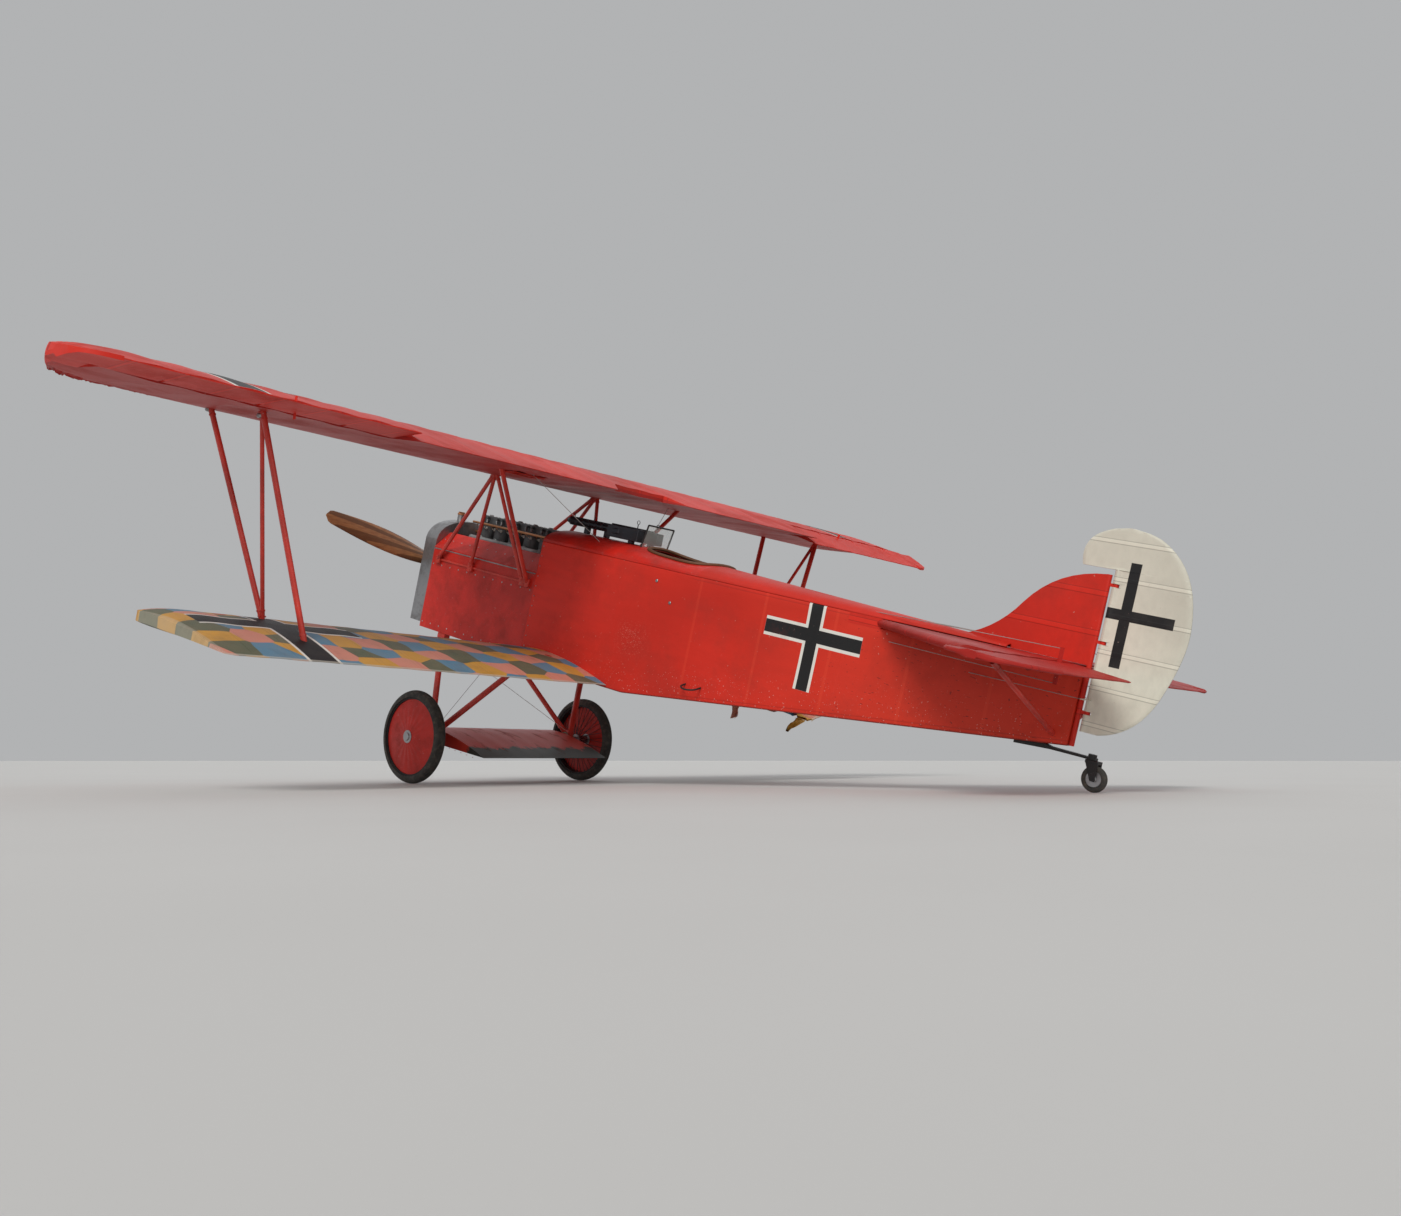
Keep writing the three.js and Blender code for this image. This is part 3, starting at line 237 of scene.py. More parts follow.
def stations(low, high, count, jumps=()):
    """Evenly spread stations, with a close pair at each jump."""
    even = np.linspace(low, high, count)
    extra = np.array([j + e for j in jumps for e in (-STEP, STEP)])
    if len(extra):
        even = even[np.all(np.abs(even[:, None] - extra) > 3 * STEP, axis=1)]
    return np.sort(np.concatenate([even, extra]))


def panel_rings(x, low, high, heights, steps=27, marks=()):
    """Rings round a thick panel: at station x each runs in y from low to high, cosine-spread, over
    the upper height and back under the lower one."""
    s = np.sort(np.concatenate([(1 - np.cos(np.linspace(0, np.pi, steps))) / 2, marks]))
    x = np.asarray(x, float)
    x = x[:, None] if x.ndim == 1 else x
    y = np.asarray(low)[:, None] + (np.asarray(high) - np.asarray(low))[:, None] * s
    x = np.broadcast_to(x, y.shape)
    top, bottom = heights(x, y)
    return np.concatenate([np.stack([x, y, top], -1), np.stack([x, y, bottom], -1)[:, ::-1]], axis=1)


def slack(x, pitch, depth, start=0.0):
    """How far cloth sinks between ribs: a squared sine that is nothing at each rib."""
    return depth * np.sin(np.pi * (x - start) / pitch) ** 2


def wing_heights(y, leading, chord, level, thick, camber):
    """Section at y: a square-root nose and a quartic tail each side of a parabola of camber."""
    s = np.clip((y - leading) / chord, 0, 1)
    half = 5 * thick * (0.2969 * np.sqrt(s) - 0.126 * s - 0.3516 * s**2 + 0.2843 * s**3 - 0.1036 * s**4)
    return level + chord * 4 * camber * s * (1 - s), chord * np.maximum(half, 0.0018), s


def taut(s, x, pitch, depth, start=0.0):
    """Slack of wing cloth, faded out over the nose board and at the rear wire."""
    return slack(x, pitch, depth, start) * np.clip((s - 0.12) * 8, 0, 1) * np.clip((1 - s) * 6, 0, 1)


def tip_fall(reach, start, length, share):
    """Square root of 1 less a share of the squared way past the start: thins a wing at its tip."""
    return np.sqrt(np.clip(1 - share * (np.clip(reach - start, 0, 1) / length) ** 2, 0, 1))


def half_width(y):
    """Half the fuselage's width: constant as far as the taper, then straight in to the stern."""
    return HALF_WIDTH - np.clip(y - TAPER, 0, None) * (HALF_WIDTH - STERN_HALF) / (STERN - TAPER)


def belly(y):
    """Height of the fuselage's underside: level, then straight up to the stern."""
    return np.clip(y - RISE, 0, None) * STERN_BOTTOM / (STERN - RISE)


# Materials
class Signal:
    """One output of a node. Each operator on it adds the Math node of the same meaning."""

    def __init__(self, paint, made, index=0):
        self.paint, self.made, self.index = paint, made, index

    def other(self, index):
        """Another output of the same node."""
        return Signal(self.paint, self.made, index)

    def math(self, operation, *values):
        """A Math node on this value and the others."""
        return self.paint.node("ShaderNodeMath", {"operation": operation}, self, *values)

    def __add__(self, other):
        return self.math("ADD", other)

    def __sub__(self, other):
        return self.math("SUBTRACT", other)

    def __rsub__(self, other):
        return self.math("MULTIPLY_ADD", -1.0, other)

    def __mul__(self, other):
        return self.math("MULTIPLY", other)

    def __truediv__(self, other):
        return self.math("DIVIDE", other)

    def __mod__(self, other):
        return self.math("FLOORED_MODULO", other)

    def __gt__(self, other):
        return self.math("GREATER_THAN", other)

    def __lt__(self, other):
        return self.math("LESS_THAN", other)

    def __abs__(self):
        return self.math("ABSOLUTE")

    __radd__, __rmul__ = __add__, __mul__

    def floor(self):
        """The whole number below."""
        return self.math("FLOOR")

    def sine(self):
        """Sine of the value in radians."""
        return self.math("SINE")

    def root(self):
        """Square root."""
        return self.math("SQRT")

    def ramp(self, low, high):
        """0 below low, 1 above high, and straight between."""
        return self.paint.node("ShaderNodeMapRange", {}, self, low, high, 0.0, 1.0)

    def within(self, centre, half, soft=0.002):
        """1 where the value is within half of the centre, with a soft edge."""
        return (half - abs(self - centre)).ramp(-soft / 2, soft / 2)

    def near(self, pitch, half, start=0.0):
        """1 within half of every multiple of the pitch."""
        return (abs(((self - start) / pitch + 0.5) % 1.0 - 0.5) * -pitch).ramp(-half - 0.001, -half + 0.001)


class Paint:
    """A material under construction, with its coordinates in the body frame."""

    def __init__(self, name):
        self.material = bpy.data.materials.new(name)
        self.material.use_nodes = True
        self.tree = self.material.node_tree
        self.shader = self.tree.nodes["Principled BSDF"]

    def node(self, kind, settings, *inputs, out=0, at=(), **named):
        """Adds a node: its settings first, then its sockets by place, by index and by name."""
        made = self.tree.nodes.new(kind)
        for key, value in settings.items():
            setattr(made, key, value)
        by_name = {key.replace("_", " "): value for key, value in named.items()}
        for key, value in {**dict(enumerate(inputs)), **dict(at), **by_name}.items():
            self.feed(made.inputs[key], value)
        return Signal(self, made, out)

    def feed(self, socket, value):
        """Links a signal to a socket or sets its value; a colour of three numbers gets alpha 1."""
        if isinstance(value, Signal):
            self.tree.links.new(value.made.outputs[value.index], socket)
        elif isinstance(value, tuple) and len(value) < len(socket.default_value):
            socket.default_value = (*value, 1.0)
        elif value is not None:
            socket.default_value = value

    def body_point(self, tilt=0.0, origin=(0.0, 0.0, 0.0)):
        """The point in the body frame, or in a frame at an origin there, tilted about y: as a whole
        and as its three parts."""
        point = self.node("ShaderNodeTexCoord", {}, out=3)
        point = self.node("ShaderNodeMapping", {}, point, tuple(-(TURN.T @ SHIFT)), (NOSE_UP, 0, 0))
        if tilt:
            point = self.node("ShaderNodeVectorMath", {"operation": "SUBTRACT"}, point, origin)
            point = self.node("ShaderNodeMapping", {}, point, (0, 0, 0), (0, -tilt, 0))
        split = self.node("ShaderNodeSeparateXYZ", {}, point)
        return point, split, split.other(1), split.other(2)

    def noise(self, point, scale, stretch=None, detail=3.0, rough=0.55):
        """Cloudy noise from 0 to 1; stretch scales the point along each axis first."""
        if stretch:
            point = self.node("ShaderNodeMapping", {}, point, None, None, stretch)
        return self.node("ShaderNodeTexNoise", {}, point, Scale=scale, Detail=detail, Roughness=rough)

    def mix(self, share, a, b):
        """Colour a at share 0 and b at share 1."""
        return self.node("ShaderNodeMix", {"data_type": "RGBA"}, out=2, at={0: share, 6: a, 7: b})

    def bump(self, height, strength, distance=0.004):
        """Normal of a surface raised by the height."""
        return self.node("ShaderNodeBump", {}, strength, distance, Height=height)

    def done(self, color, roughness=0.5, normal=None, metallic=0.0, coat=0.0, **fixed):
        """Feeds the shader; what is named in fixed is set on its own socket."""
        values = {"Base Color": color, "Roughness": roughness, "Metallic": metallic, "Normal": normal,
                  "Coat Weight": coat, "Coat Roughness": 0.2}
        for key, value in {**values, **{k.replace("_", " "): v for k, v in fixed.items()}}.items():
            self.feed(self.shader.inputs[key], value)
        return self.material


def shade(colour, factor):
    """A colour times a factor, each part at most 1."""
    return tuple(min(1.0, c * factor) for c in colour)


RED, DEEP_RED, CREAM = (0.60, 0.022, 0.010), (0.40, 0.014, 0.009), (0.66, 0.64, 0.54)
BLACK, WHITE, SOOT = (0.012, 0.012, 0.013), (0.70, 0.69, 0.64), (0.045, 0.028, 0.02)
# Painted light: the frame red is painted highlight; the longeron and belly reds are painted shade
SHADED_RED, SUNLIT_RED, FRAME_HIGHLIGHT_RED = (0.34, 0.011, 0.008), (0.72, 0.06, 0.02), (0.75, 0.07, 0.03)
LONGERON_SHADE_RED, BELLY_SHADE_RED, MUD_RED = (0.2, 0.01, 0.008), (0.20, 0.022, 0.014), (0.33, 0.03, 0.018)
SEAM_DARK, SCRATCH_DARK, LACE_DARK = (0.06, 0.01, 0.008), (0.08, 0.01, 0.01), (0.05, 0.01, 0.008)
FLECK, SCUFF = (0.62, 0.45, 0.40), (0.64, 0.24, 0.19)
PRIMER, BARE_CLOTH = (0.50, 0.36, 0.30), (0.30, 0.23, 0.14)
# The hatch and drain darks are painted shade, inside the open hatch and the tail's drain holes
HATCH_SHADE_DARK, DRAIN_SHADE_DARK, EDGE_TAPE = (0.01, 0.006, 0.005), (0.03, 0.006, 0.005), (0.5, 0.47, 0.4)

# Crosses: centre, half widths of the two bars, their half lengths, width of the pale edge
UPPER_CROSS = (3.3, 1.17), (0.1, 0.095), (0.62, 0.57), 0.024
SIDE_CROSS = (4.035, 0.777), (0.046, 0.046), (0.385, 0.388), 0.022
LOWER_CROSS = (2.84, 1.7325), (0.097, 0.089), (0.58, 1.2), 0.022
TIP_CROSS = (-0.34, 1.7325), *LOWER_CROSS[1:]
RUDDER_CROSS = (6.07, 1.335), (0.033, 0.033), (0.29, 0.315), 0.0


def cross(u, v, centre, half, arms, edge):
    """Masks of a cross, pale edges first: the larger of two bars, each the smaller of a band over
    its width and a band over its length."""
    (cu, cv), (hu, hv), (au, av) = centre, half, arms

    def bars(grow):
        """Both bars, each wider by the growth."""
        upright = u.within(cu, hu + grow).math("MINIMUM", v.within(cv, av))
        level = v.within(cv, hv + grow).math("MINIMUM", u.within(cu, au))
        return upright.math("MAXIMUM", level)

    return [(bars(edge), WHITE), (bars(0.0), BLACK)] if edge else [(bars(0.0), BLACK)]


def spot(u, v, centre, radius):
    """Mask of a round spot: the radius less the root of the summed squares."""
    across, along = u - centre[0], v - centre[1]
    return (radius - (across * across + along * along).root()).ramp(-0.002, 0.002)


def upper_marks(paint, x, y, z):
    """Upper wing: shaded underside, crosses on top, painted shade in the open hatch, soot behind the engine."""
    s = (y - UPPER["leading"]) / UPPER["chord"]
    above = z > UPPER["level"] + s * (1.0 - s) * UPPER["chord"] * 4 * UPPER["camber"]
    crosses = cross(abs(x), y, *UPPER_CROSS)
    # Inside the open hatch, near black: painted shade
    hatch = x.within(0.855, 0.153) * y.within(1.487, 0.068) * (z < HATCH_TOP + 0.01)
    soot = paint.noise(paint.body_point()[0], 2.2, (2.5, 0.5, 1), 5.0).ramp(0.4, 0.75)
    soot = soot * (1.0 - abs(x).ramp(0.15, 0.75))
    return [(0.7 - above * 0.7, SHADED_RED), *((mask * above, tone) for mask, tone in crosses),
            (hatch, HATCH_SHADE_DARK), (soot * 0.55, SOOT)]


def fuselage_marks(paint, x, y, z):
    """Fuselage: sunlit rear, painted highlight over frames, painted shade along longerons and under the
    belly, mud mottling and seams on the belly, flecks, scratches, lacing, scuffs below the cockpit, crosses
    and the well's bare inside."""
    point = paint.body_point()[0]
    height = z - (y - RISE).math("MAXIMUM", 0.0) * (STERN_BOTTOM / (STERN - RISE))
    under = 1.0 - height.ramp(0.004, 0.012)
    mottle = paint.noise(point, 2.6, (1, 0.45, 1), 6.0, 0.65).ramp(0.38, 0.62)
    seams = y.near(FRAME_PITCH, 0.006, FIRST_FRAME) * under
    flecks = paint.noise(point, 80.0, detail=1.0).ramp(0.715, 0.725) * (1.0 - height.ramp(0.03, 0.3))
    port = x > 0.0
    scratch = paint.noise(point, 30.0, (9, 0.5, 3), 2.0).ramp(0.68, 0.70) * port * y.ramp(3.8, 4.6)
    lacing = y.near(0.06, 0.011) * y.within(5.33, 0.19) * z.within(0.914, 0.014)
    scuffs = paint.noise(point, 24.0, (1, 3, 7), 2.0).ramp(0.62, 0.64) * port
    scuffs = scuffs * y.within(2.5, 0.13, 0.12) * z.within(0.42, 0.1, 0.12)
    frames = y.near(FRAME_PITCH, 0.011, FIRST_FRAME) * y.ramp(3.0, 3.05)
    longeron = height.within(0.03, 0.004).math("MAXIMUM", z.within(0.975, 0.004))
    reach = abs(x) + (y - TAPER).math("MAXIMUM", 0.0) * ((HALF_WIDTH - STERN_HALF) / (STERN - TAPER))
    well = (reach < HALF_WIDTH - WALL + 0.004) * y.within(sum(WELL) / 2, 0.378)
    well = well * (z > WELL_FLOOR / 2) * (z < TOP - 0.001)
    # Frame red: painted highlight over each frame; longeron red and belly red: painted shade
    return [(y.ramp(3.2, 5.9) * 0.45, SUNLIT_RED), (frames * 0.22, FRAME_HIGHLIGHT_RED),
            (longeron * y.ramp(2.9, 3.0) * 0.3, LONGERON_SHADE_RED), (under * 0.75, BELLY_SHADE_RED),
            (under * mottle * 0.55, MUD_RED), (seams * 0.6, SEAM_DARK), (flecks * 0.65, FLECK),
            (scratch * 0.8, SCRATCH_DARK), (lacing * 0.85, LACE_DARK), (scuffs * 0.55, SCUFF),
            *cross(y, z, *SIDE_CROSS), (well, BARE_CLOTH)]


def tail_marks(paint, x, y, z):
    """Tailplane: a drain hole in the underside on each side, painted dark as its shade."""
    return [(spot(abs(x), y, (0.25, 5.36), 0.018) * (z < TAILPLANE["z"] - 0.01), DRAIN_SHADE_DARK)]


def rudder_marks(paint, x, y, z):
    """Rudder: a black cross without an edge."""
    return cross(y, z, *RUDDER_CROSS)


def lower_marks(x, y):
    """Lower wings: crosses, two red and two black spots, and the tape round the tip."""
    span = abs(x)
    tip_tape = (span + (y - 1.469) * 0.067).ramp(3.541, 3.545)
    return [*cross(span, y, *LOWER_CROSS),
            (spot(x, y, (0.5, 1.79), 0.03), DEEP_RED), (spot(x, y, (3.1, 1.45), 0.045), DEEP_RED),
            (spot(span, y, (0.496, 1.475), 0.028), BLACK), (tip_tape * 0.3, EDGE_TAPE)]


def tip_marks(x, y):
    """Broken tip: the rest of the starboard cross, in the tip's own flat frame."""
    return cross(x, y, *TIP_CROSS)


def cloth(name, base, pitch=None, along=0, marks=None, grime=0.45, gloss=0.48, rib=0.014):
    """Doped cloth: drifting tone, brush streaks, tapes and stitches over the ribs, marks, grime,
    chips and fine weave."""
    paint = Paint(name)
    point, *axes = paint.body_point()
    x, y, z = axes
    streak = paint.noise(point, 2.6, (1, 7, 5) if along != 1 else (5, 1, 6), 5.0)
    dirt = paint.noise(point, 1.9, detail=7.0, rough=0.68)
    fine = paint.noise(point, 42.0, detail=4.0, rough=0.7)
    colour = paint.mix(paint.noise(point, 0.8, detail=2.0).ramp(0.3, 0.7), shade(base, 0.78), shade(base, 1.15))
    colour = paint.mix(streak.ramp(0.4, 0.75) * 0.35, colour, shade(base, 0.72))
    height = fine * 0.3 + streak * 0.5
    if pitch:
        tape = axes[along].near(pitch, rib)
        stitch = axes[along].near(pitch, 0.004) * axes[1 - min(along, 1)].near(0.07, 0.006)
        colour = paint.mix(tape * 0.35, colour, shade(base, 1.3))
        colour = paint.mix(axes[along].near(pitch, rib + 0.005) * (1.0 - tape) * 0.6, colour, shade(base, 0.45))
        height = height + tape * 1.1 + stitch * 1.3
    for mask, tone in marks(paint, x, y, z) if marks else ():
        colour = paint.mix(mask, colour, tone)
    soil = dirt.ramp(0.48, 0.74)
    colour = paint.mix(soil * grime, colour, tuple(0.35 * b + 0.65 * s for b, s in zip(base, SOOT)))
    chips = paint.noise(point, 55.0, detail=2.0).ramp(0.73, 0.745) * dirt.ramp(0.42, 0.55)
    colour = paint.mix(chips * 0.7, colour, PRIMER)
    weave = (x * 2400.0).sine() * (y * 2400.0).sine() + (z * 2400.0).sine() * 0.3
    normal = paint.bump(height + weave * 0.05, 0.3)
    return paint.done(colour, gloss + soil * 0.25 + fine * 0.1, normal, Specular_IOR_Level=0.3)


def printed_cloth(name, marks=None, tilt=0.0, origin=(0.0, 0.0, 0.0)):
    """Printed four-colour cloth: slanted many-sided patches in a fixed order with soft print edges,
    tapes and stains. A patch's colour is its cell's column plus twice its row, modulo four."""
    paint = Paint(name)
    point, x, y, _ = paint.body_point(tilt, origin)
    wander = paint.noise(point, 3.5, detail=1.0)
    u = x / 0.235 + y * 1.15 + wander * 0.5
    v = y / 0.205 - x * 0.62 + wander * 0.4
    cells = paint.node("ShaderNodeCombineXYZ", {}, u, v, 0.0)
    patch = paint.node("ShaderNodeTexVoronoi", {"feature": "F1"}, cells, Scale=1.0, Randomness=0.42, out=2)
    spot_at = paint.node("ShaderNodeSeparateXYZ", {}, patch)
    order = (spot_at.floor() + spot_at.other(1).floor() * 2.0) % 4.0
    colour = paint.mix(order > 0.5, (0.60, 0.235, 0.175), (0.56, 0.29, 0.04))
    colour = paint.mix(order > 1.5, colour, (0.07, 0.22, 0.345))
    colour = paint.mix(order > 2.5, colour, (0.088, 0.11, 0.066))
    tone = paint.noise(point, 8.0, detail=5.0)
    colour = paint.mix(tone.ramp(0.25, 0.8) * 0.3, colour, (0.34, 0.25, 0.17))
    tape = x.near(RIB_PITCH, 0.016)
    colour = paint.mix(x.near(RIB_PITCH, 0.019) * (1.0 - tape) * 0.3, colour, (0.05, 0.04, 0.03))
    for mask, shown in marks(x, y) if marks else ():
        colour = paint.mix(mask, colour, shown)
    dirt = paint.noise(point, 4.2, detail=6.0, rough=0.7)
    colour = paint.mix(dirt.ramp(0.52, 0.78) * 0.4, colour, (0.07, 0.055, 0.04))
    colour = paint.mix((1.0 - (y - LOWER["leading"]).ramp(0.006, 0.03)) * 0.8, colour, (0.09, 0.03, 0.025))
    colour = paint.mix(y.ramp(2.335, 2.338) * 0.55, colour, EDGE_TAPE)
    weave = (x * 2400.0).sine() * (y * 2400.0).sine()
    height = paint.noise(point, 45.0, detail=4.0) * 0.35 + tape * 1.1 + weave * 0.06
    return paint.done(colour, 0.55 + tone * 0.15, paint.bump(height, 0.3), Specular_IOR_Level=0.3)


def worn_surface(name, base, metallic, rough, worn_to, worn, grime, coat):
    """Painted or bare metal, rubber cord, leather and the like: drifting tone, scratches, chipped
    spots of the tone it wears to, and oily dirt in soft patches."""
    paint = Paint(name)
    point, *_ = paint.body_point()
    dirt = paint.noise(point, 6.0, detail=7.0, rough=0.7)
    fine = paint.noise(point, 90.0, detail=3.0)
    scratch = paint.noise(point, 26.0, (1, 12, 4), 3.0).ramp(0.66, 0.69)
    tone = paint.noise(point, 2.6, detail=4.0).ramp(0.3, 0.7)
    colour = paint.mix(tone, shade(base, 0.72), shade(base, 1.2))
    chips = paint.noise(point, 33.0, detail=5.0, rough=0.75).ramp(0.64, 0.68)
    chips = chips.math("MAXIMUM", scratch * 0.6)
    colour = paint.mix(chips * worn, colour, worn_to)
    soil = dirt.ramp(0.46, 0.74)
    colour = paint.mix(soil * grime, colour, SOOT)
    normal = paint.bump(fine * 0.4 - chips + dirt, 0.2, 0.003)
    return paint.done(colour, rough + soil * 0.3 + fine * 0.1, normal, metallic, coat,
                      Specular_IOR_Level=0.5 if metallic else 0.3)


def axle_wing_paint():
    """Red painted plywood, dark in a ragged band along its rear edge, and smudged with mud."""
    paint = Paint("axle_wing_red")
    point, _, y, _ = paint.body_point()
    ragged = paint.noise(point, 5.5, (1.6, 1, 1), 6.0, 0.7)
    colour = paint.mix(paint.noise(point, 2.0, detail=4.0), shade(RED, 0.85), (0.60, 0.06, 0.035))
    colour = paint.mix((y + ragged * 0.34).ramp(1.46, 1.49), colour, (0.035, 0.036, 0.03))
    smudge = paint.noise(point, 9.0, (1, 0.3, 1), 5.0, 0.7).ramp(0.58, 0.7)
    colour = paint.mix(smudge * 0.6, colour, (0.12, 0.05, 0.035))
    return paint.done(colour, 0.5 + smudge * 0.3, paint.bump(ragged + smudge, 0.2), Specular_IOR_Level=0.3)


# How far the grain is drawn out along x: its noise is stretched by these factors
GRAIN = (1.2, 9, 9)


def grained_wood(name, light, dark, layers=None, gloss=0.38, coat=0.25):
    """Wood: grain drawn out along x, pores, and glued layers of a given thickness along y."""
    paint = Paint(name)
    point, _, y, _ = paint.body_point()
    grain = paint.noise(point, 9.0, GRAIN, 6.0, 0.6)
    pores = paint.noise(point, 160.0, tuple(along / 9 for along in GRAIN), 3.0)
    colour = paint.mix(grain.ramp(0.3, 0.7), light, dark)
    if layers:
        colour = paint.mix((y / layers).floor() % 2.0 * 0.75, colour, shade(dark, 0.42))
    colour = paint.mix(pores.ramp(0.6, 0.75) * 0.4, colour, shade(dark, 0.3))
    normal = paint.bump(grain + pores, 0.15, 0.002)
    return paint.done(colour, gloss + grain * 0.2, normal, coat=coat, Specular_IOR_Level=0.35)


def rubber():
    """Old rubber: grey bloom, dust in the grooves and fine cracks."""
    paint = Paint("old_rubber")
    point, *_ = paint.body_point()
    bloom = paint.noise(point, 8.0, detail=6.0, rough=0.7)
    dust = paint.noise(point, 30.0, detail=5.0).ramp(0.5, 0.75)
    colour = paint.mix(bloom.ramp(0.35, 0.7), (0.022, 0.021, 0.02), (0.075, 0.07, 0.062))
    colour = paint.mix(dust * 0.25, colour, (0.25, 0.2, 0.14))
    return paint.done(colour, 0.72 + bloom * 0.2, paint.bump(dust + bloom, 0.3, 0.003))


def core_brass():
    """Radiator core: small cells in dull brass, their middles painted dark as the shade inside each cell."""
    paint = Paint("core_brass")
    point, *_ = paint.body_point()
    cell = paint.node("ShaderNodeTexVoronoi", {"feature": "DISTANCE_TO_EDGE"}, point,
                      Scale=85.0, Randomness=0.15)
    wall = cell.ramp(0.05, 0.12)
    # Dark cell middles: painted shade
    colour = paint.mix(wall, (0.30, 0.20, 0.10), (0.008, 0.007, 0.006))
    return paint.done(colour, 0.5, paint.bump(1.0 - wall, 0.5, 0.004), 0.6)


def dial_face():
    """Instrument face: black, with twelve pale marks in a ring about each dial's middle."""
    paint = Paint("dial_face")
    _, x, _, z = paint.body_point()
    colour = BLACK
    for cx, cz, radius in DIALS:
        distance = ((x - cx) * (x - cx) + (z - cz) * (z - cz)).root()
        angle = (z - cz).math("ARCTAN2", x - cx)
        ticks = angle.near(math.pi / 6, 0.06) * distance.within(radius * 0.78, radius * 0.09)
        colour = paint.mix(ticks, colour, (0.7, 0.68, 0.55))
    return paint.done(colour, 0.2, coat=1.0)


def clear_pane():
    """Old clear pane: slightly yellow, lightly scratched."""
    paint = Paint("clear_pane")
    point, *_ = paint.body_point()
    scratches = paint.noise(point, 60.0, (1, 1, 8), 3.0)
    return paint.done((0.75, 0.8, 0.76), 0.1 + scratches * 0.1, Alpha=0.2 + scratches * 0.04)


# Pieces
JOIN, SMOOTH_UP_TO, ROUND_FROM = 2e-5, math.radians(35), math.radians(38)


def finished(name, body, tidy, finish, replaces, width=None):
    """Makes the object: normals outwards, smooth up to an angle, corners rounded to a width."""
    bmesh.ops.recalc_face_normals(tidy, faces=tidy.faces)
    mesh = bpy.data.meshes.new(name)
    tidy.to_mesh(mesh)
    tidy.free()
    mesh.shade_smooth()
    mesh.set_sharp_from_angle(angle=SMOOTH_UP_TO)
    made = bpy.data.objects.new(name, mesh)
    bpy.context.scene.collection.objects.link(made)
    mesh.materials.append(FINISHES[finish])
    if width:
        worn = made.modifiers.new("worn_corners", "BEVEL")
        worn.width, worn.segments, worn.limit_method = width, 2, "ANGLE"
        worn.angle_limit, worn.harden_normals = ROUND_FROM, True
    if body:
        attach(made, body)
    if replaces:
        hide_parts(*replaces)
    return made


def put(name, body, shapes, finish, slot, *replaces):
    """A piece from shapes in the body frame: parked, with doubles and slivers merged."""
    points, faces = merged(shapes) if isinstance(shapes, list) else shapes
    mesh = bpy.data.meshes.new(name)
    mesh.from_pydata(parked(points).tolist(), [], faces)
    tidy = bmesh.new()
    tidy.from_mesh(mesh)
    bpy.data.meshes.remove(mesh)
    bmesh.ops.remove_doubles(tidy, verts=tidy.verts, dist=JOIN)
    bmesh.ops.dissolve_degenerate(tidy, edges=tidy.edges, dist=1e-6)
    return finished(name, body, tidy, finish, replaces)


def softened(node, body, finish, slot, width):
    """A copy of a solid: loose faces joined, flat ones made whole, corners worn round."""
    tidy = bmesh.new()
    tidy.from_mesh(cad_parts[node].data)
    bmesh.ops.remove_doubles(tidy, verts=tidy.verts, dist=JOIN)
    bmesh.ops.dissolve_limit(tidy, angle_limit=math.radians(0.5), verts=tidy.verts, edges=tidy.edges)
    return finished(node + "_worn", body, tidy, finish, [node], width)


def lug(x, hinge, z, nose, arm):
    """Hinge lug: a disc on the hinge line and the arm that carries it."""
    return merged([disc((x, hinge, z), (1, 0, 0), nose * 0.8, -0.01, 0.01, 20),
                   block((x - 0.01, hinge - arm, z - 0.011), (x + 0.01, hinge, z + 0.011), 0.002)])


# Upper wing's nose, as (x, how far it is cut back): crushed to port, rounded to starboard
PORT_NOSE = np.array([(3.45, 0), (3.56, 0.09), (3.66, 0.04), (3.8, 0.05), (3.9, 0.12), (3.99, 0.17),
                      (4.13, 0.23), (4.22, 0.42), (4.24, 0.6)])
STARBOARD_NOSE = np.array([(3.9, 0), (4.0, 0.045), (4.13, 0.14), (4.22, 0.42), (4.24, 0.7)])
AILERON_BAY, CUTOUT, CUTOUT_RUN, CUTOUT_DEPTH = 2.293, 0.43, 0.13, 0.19


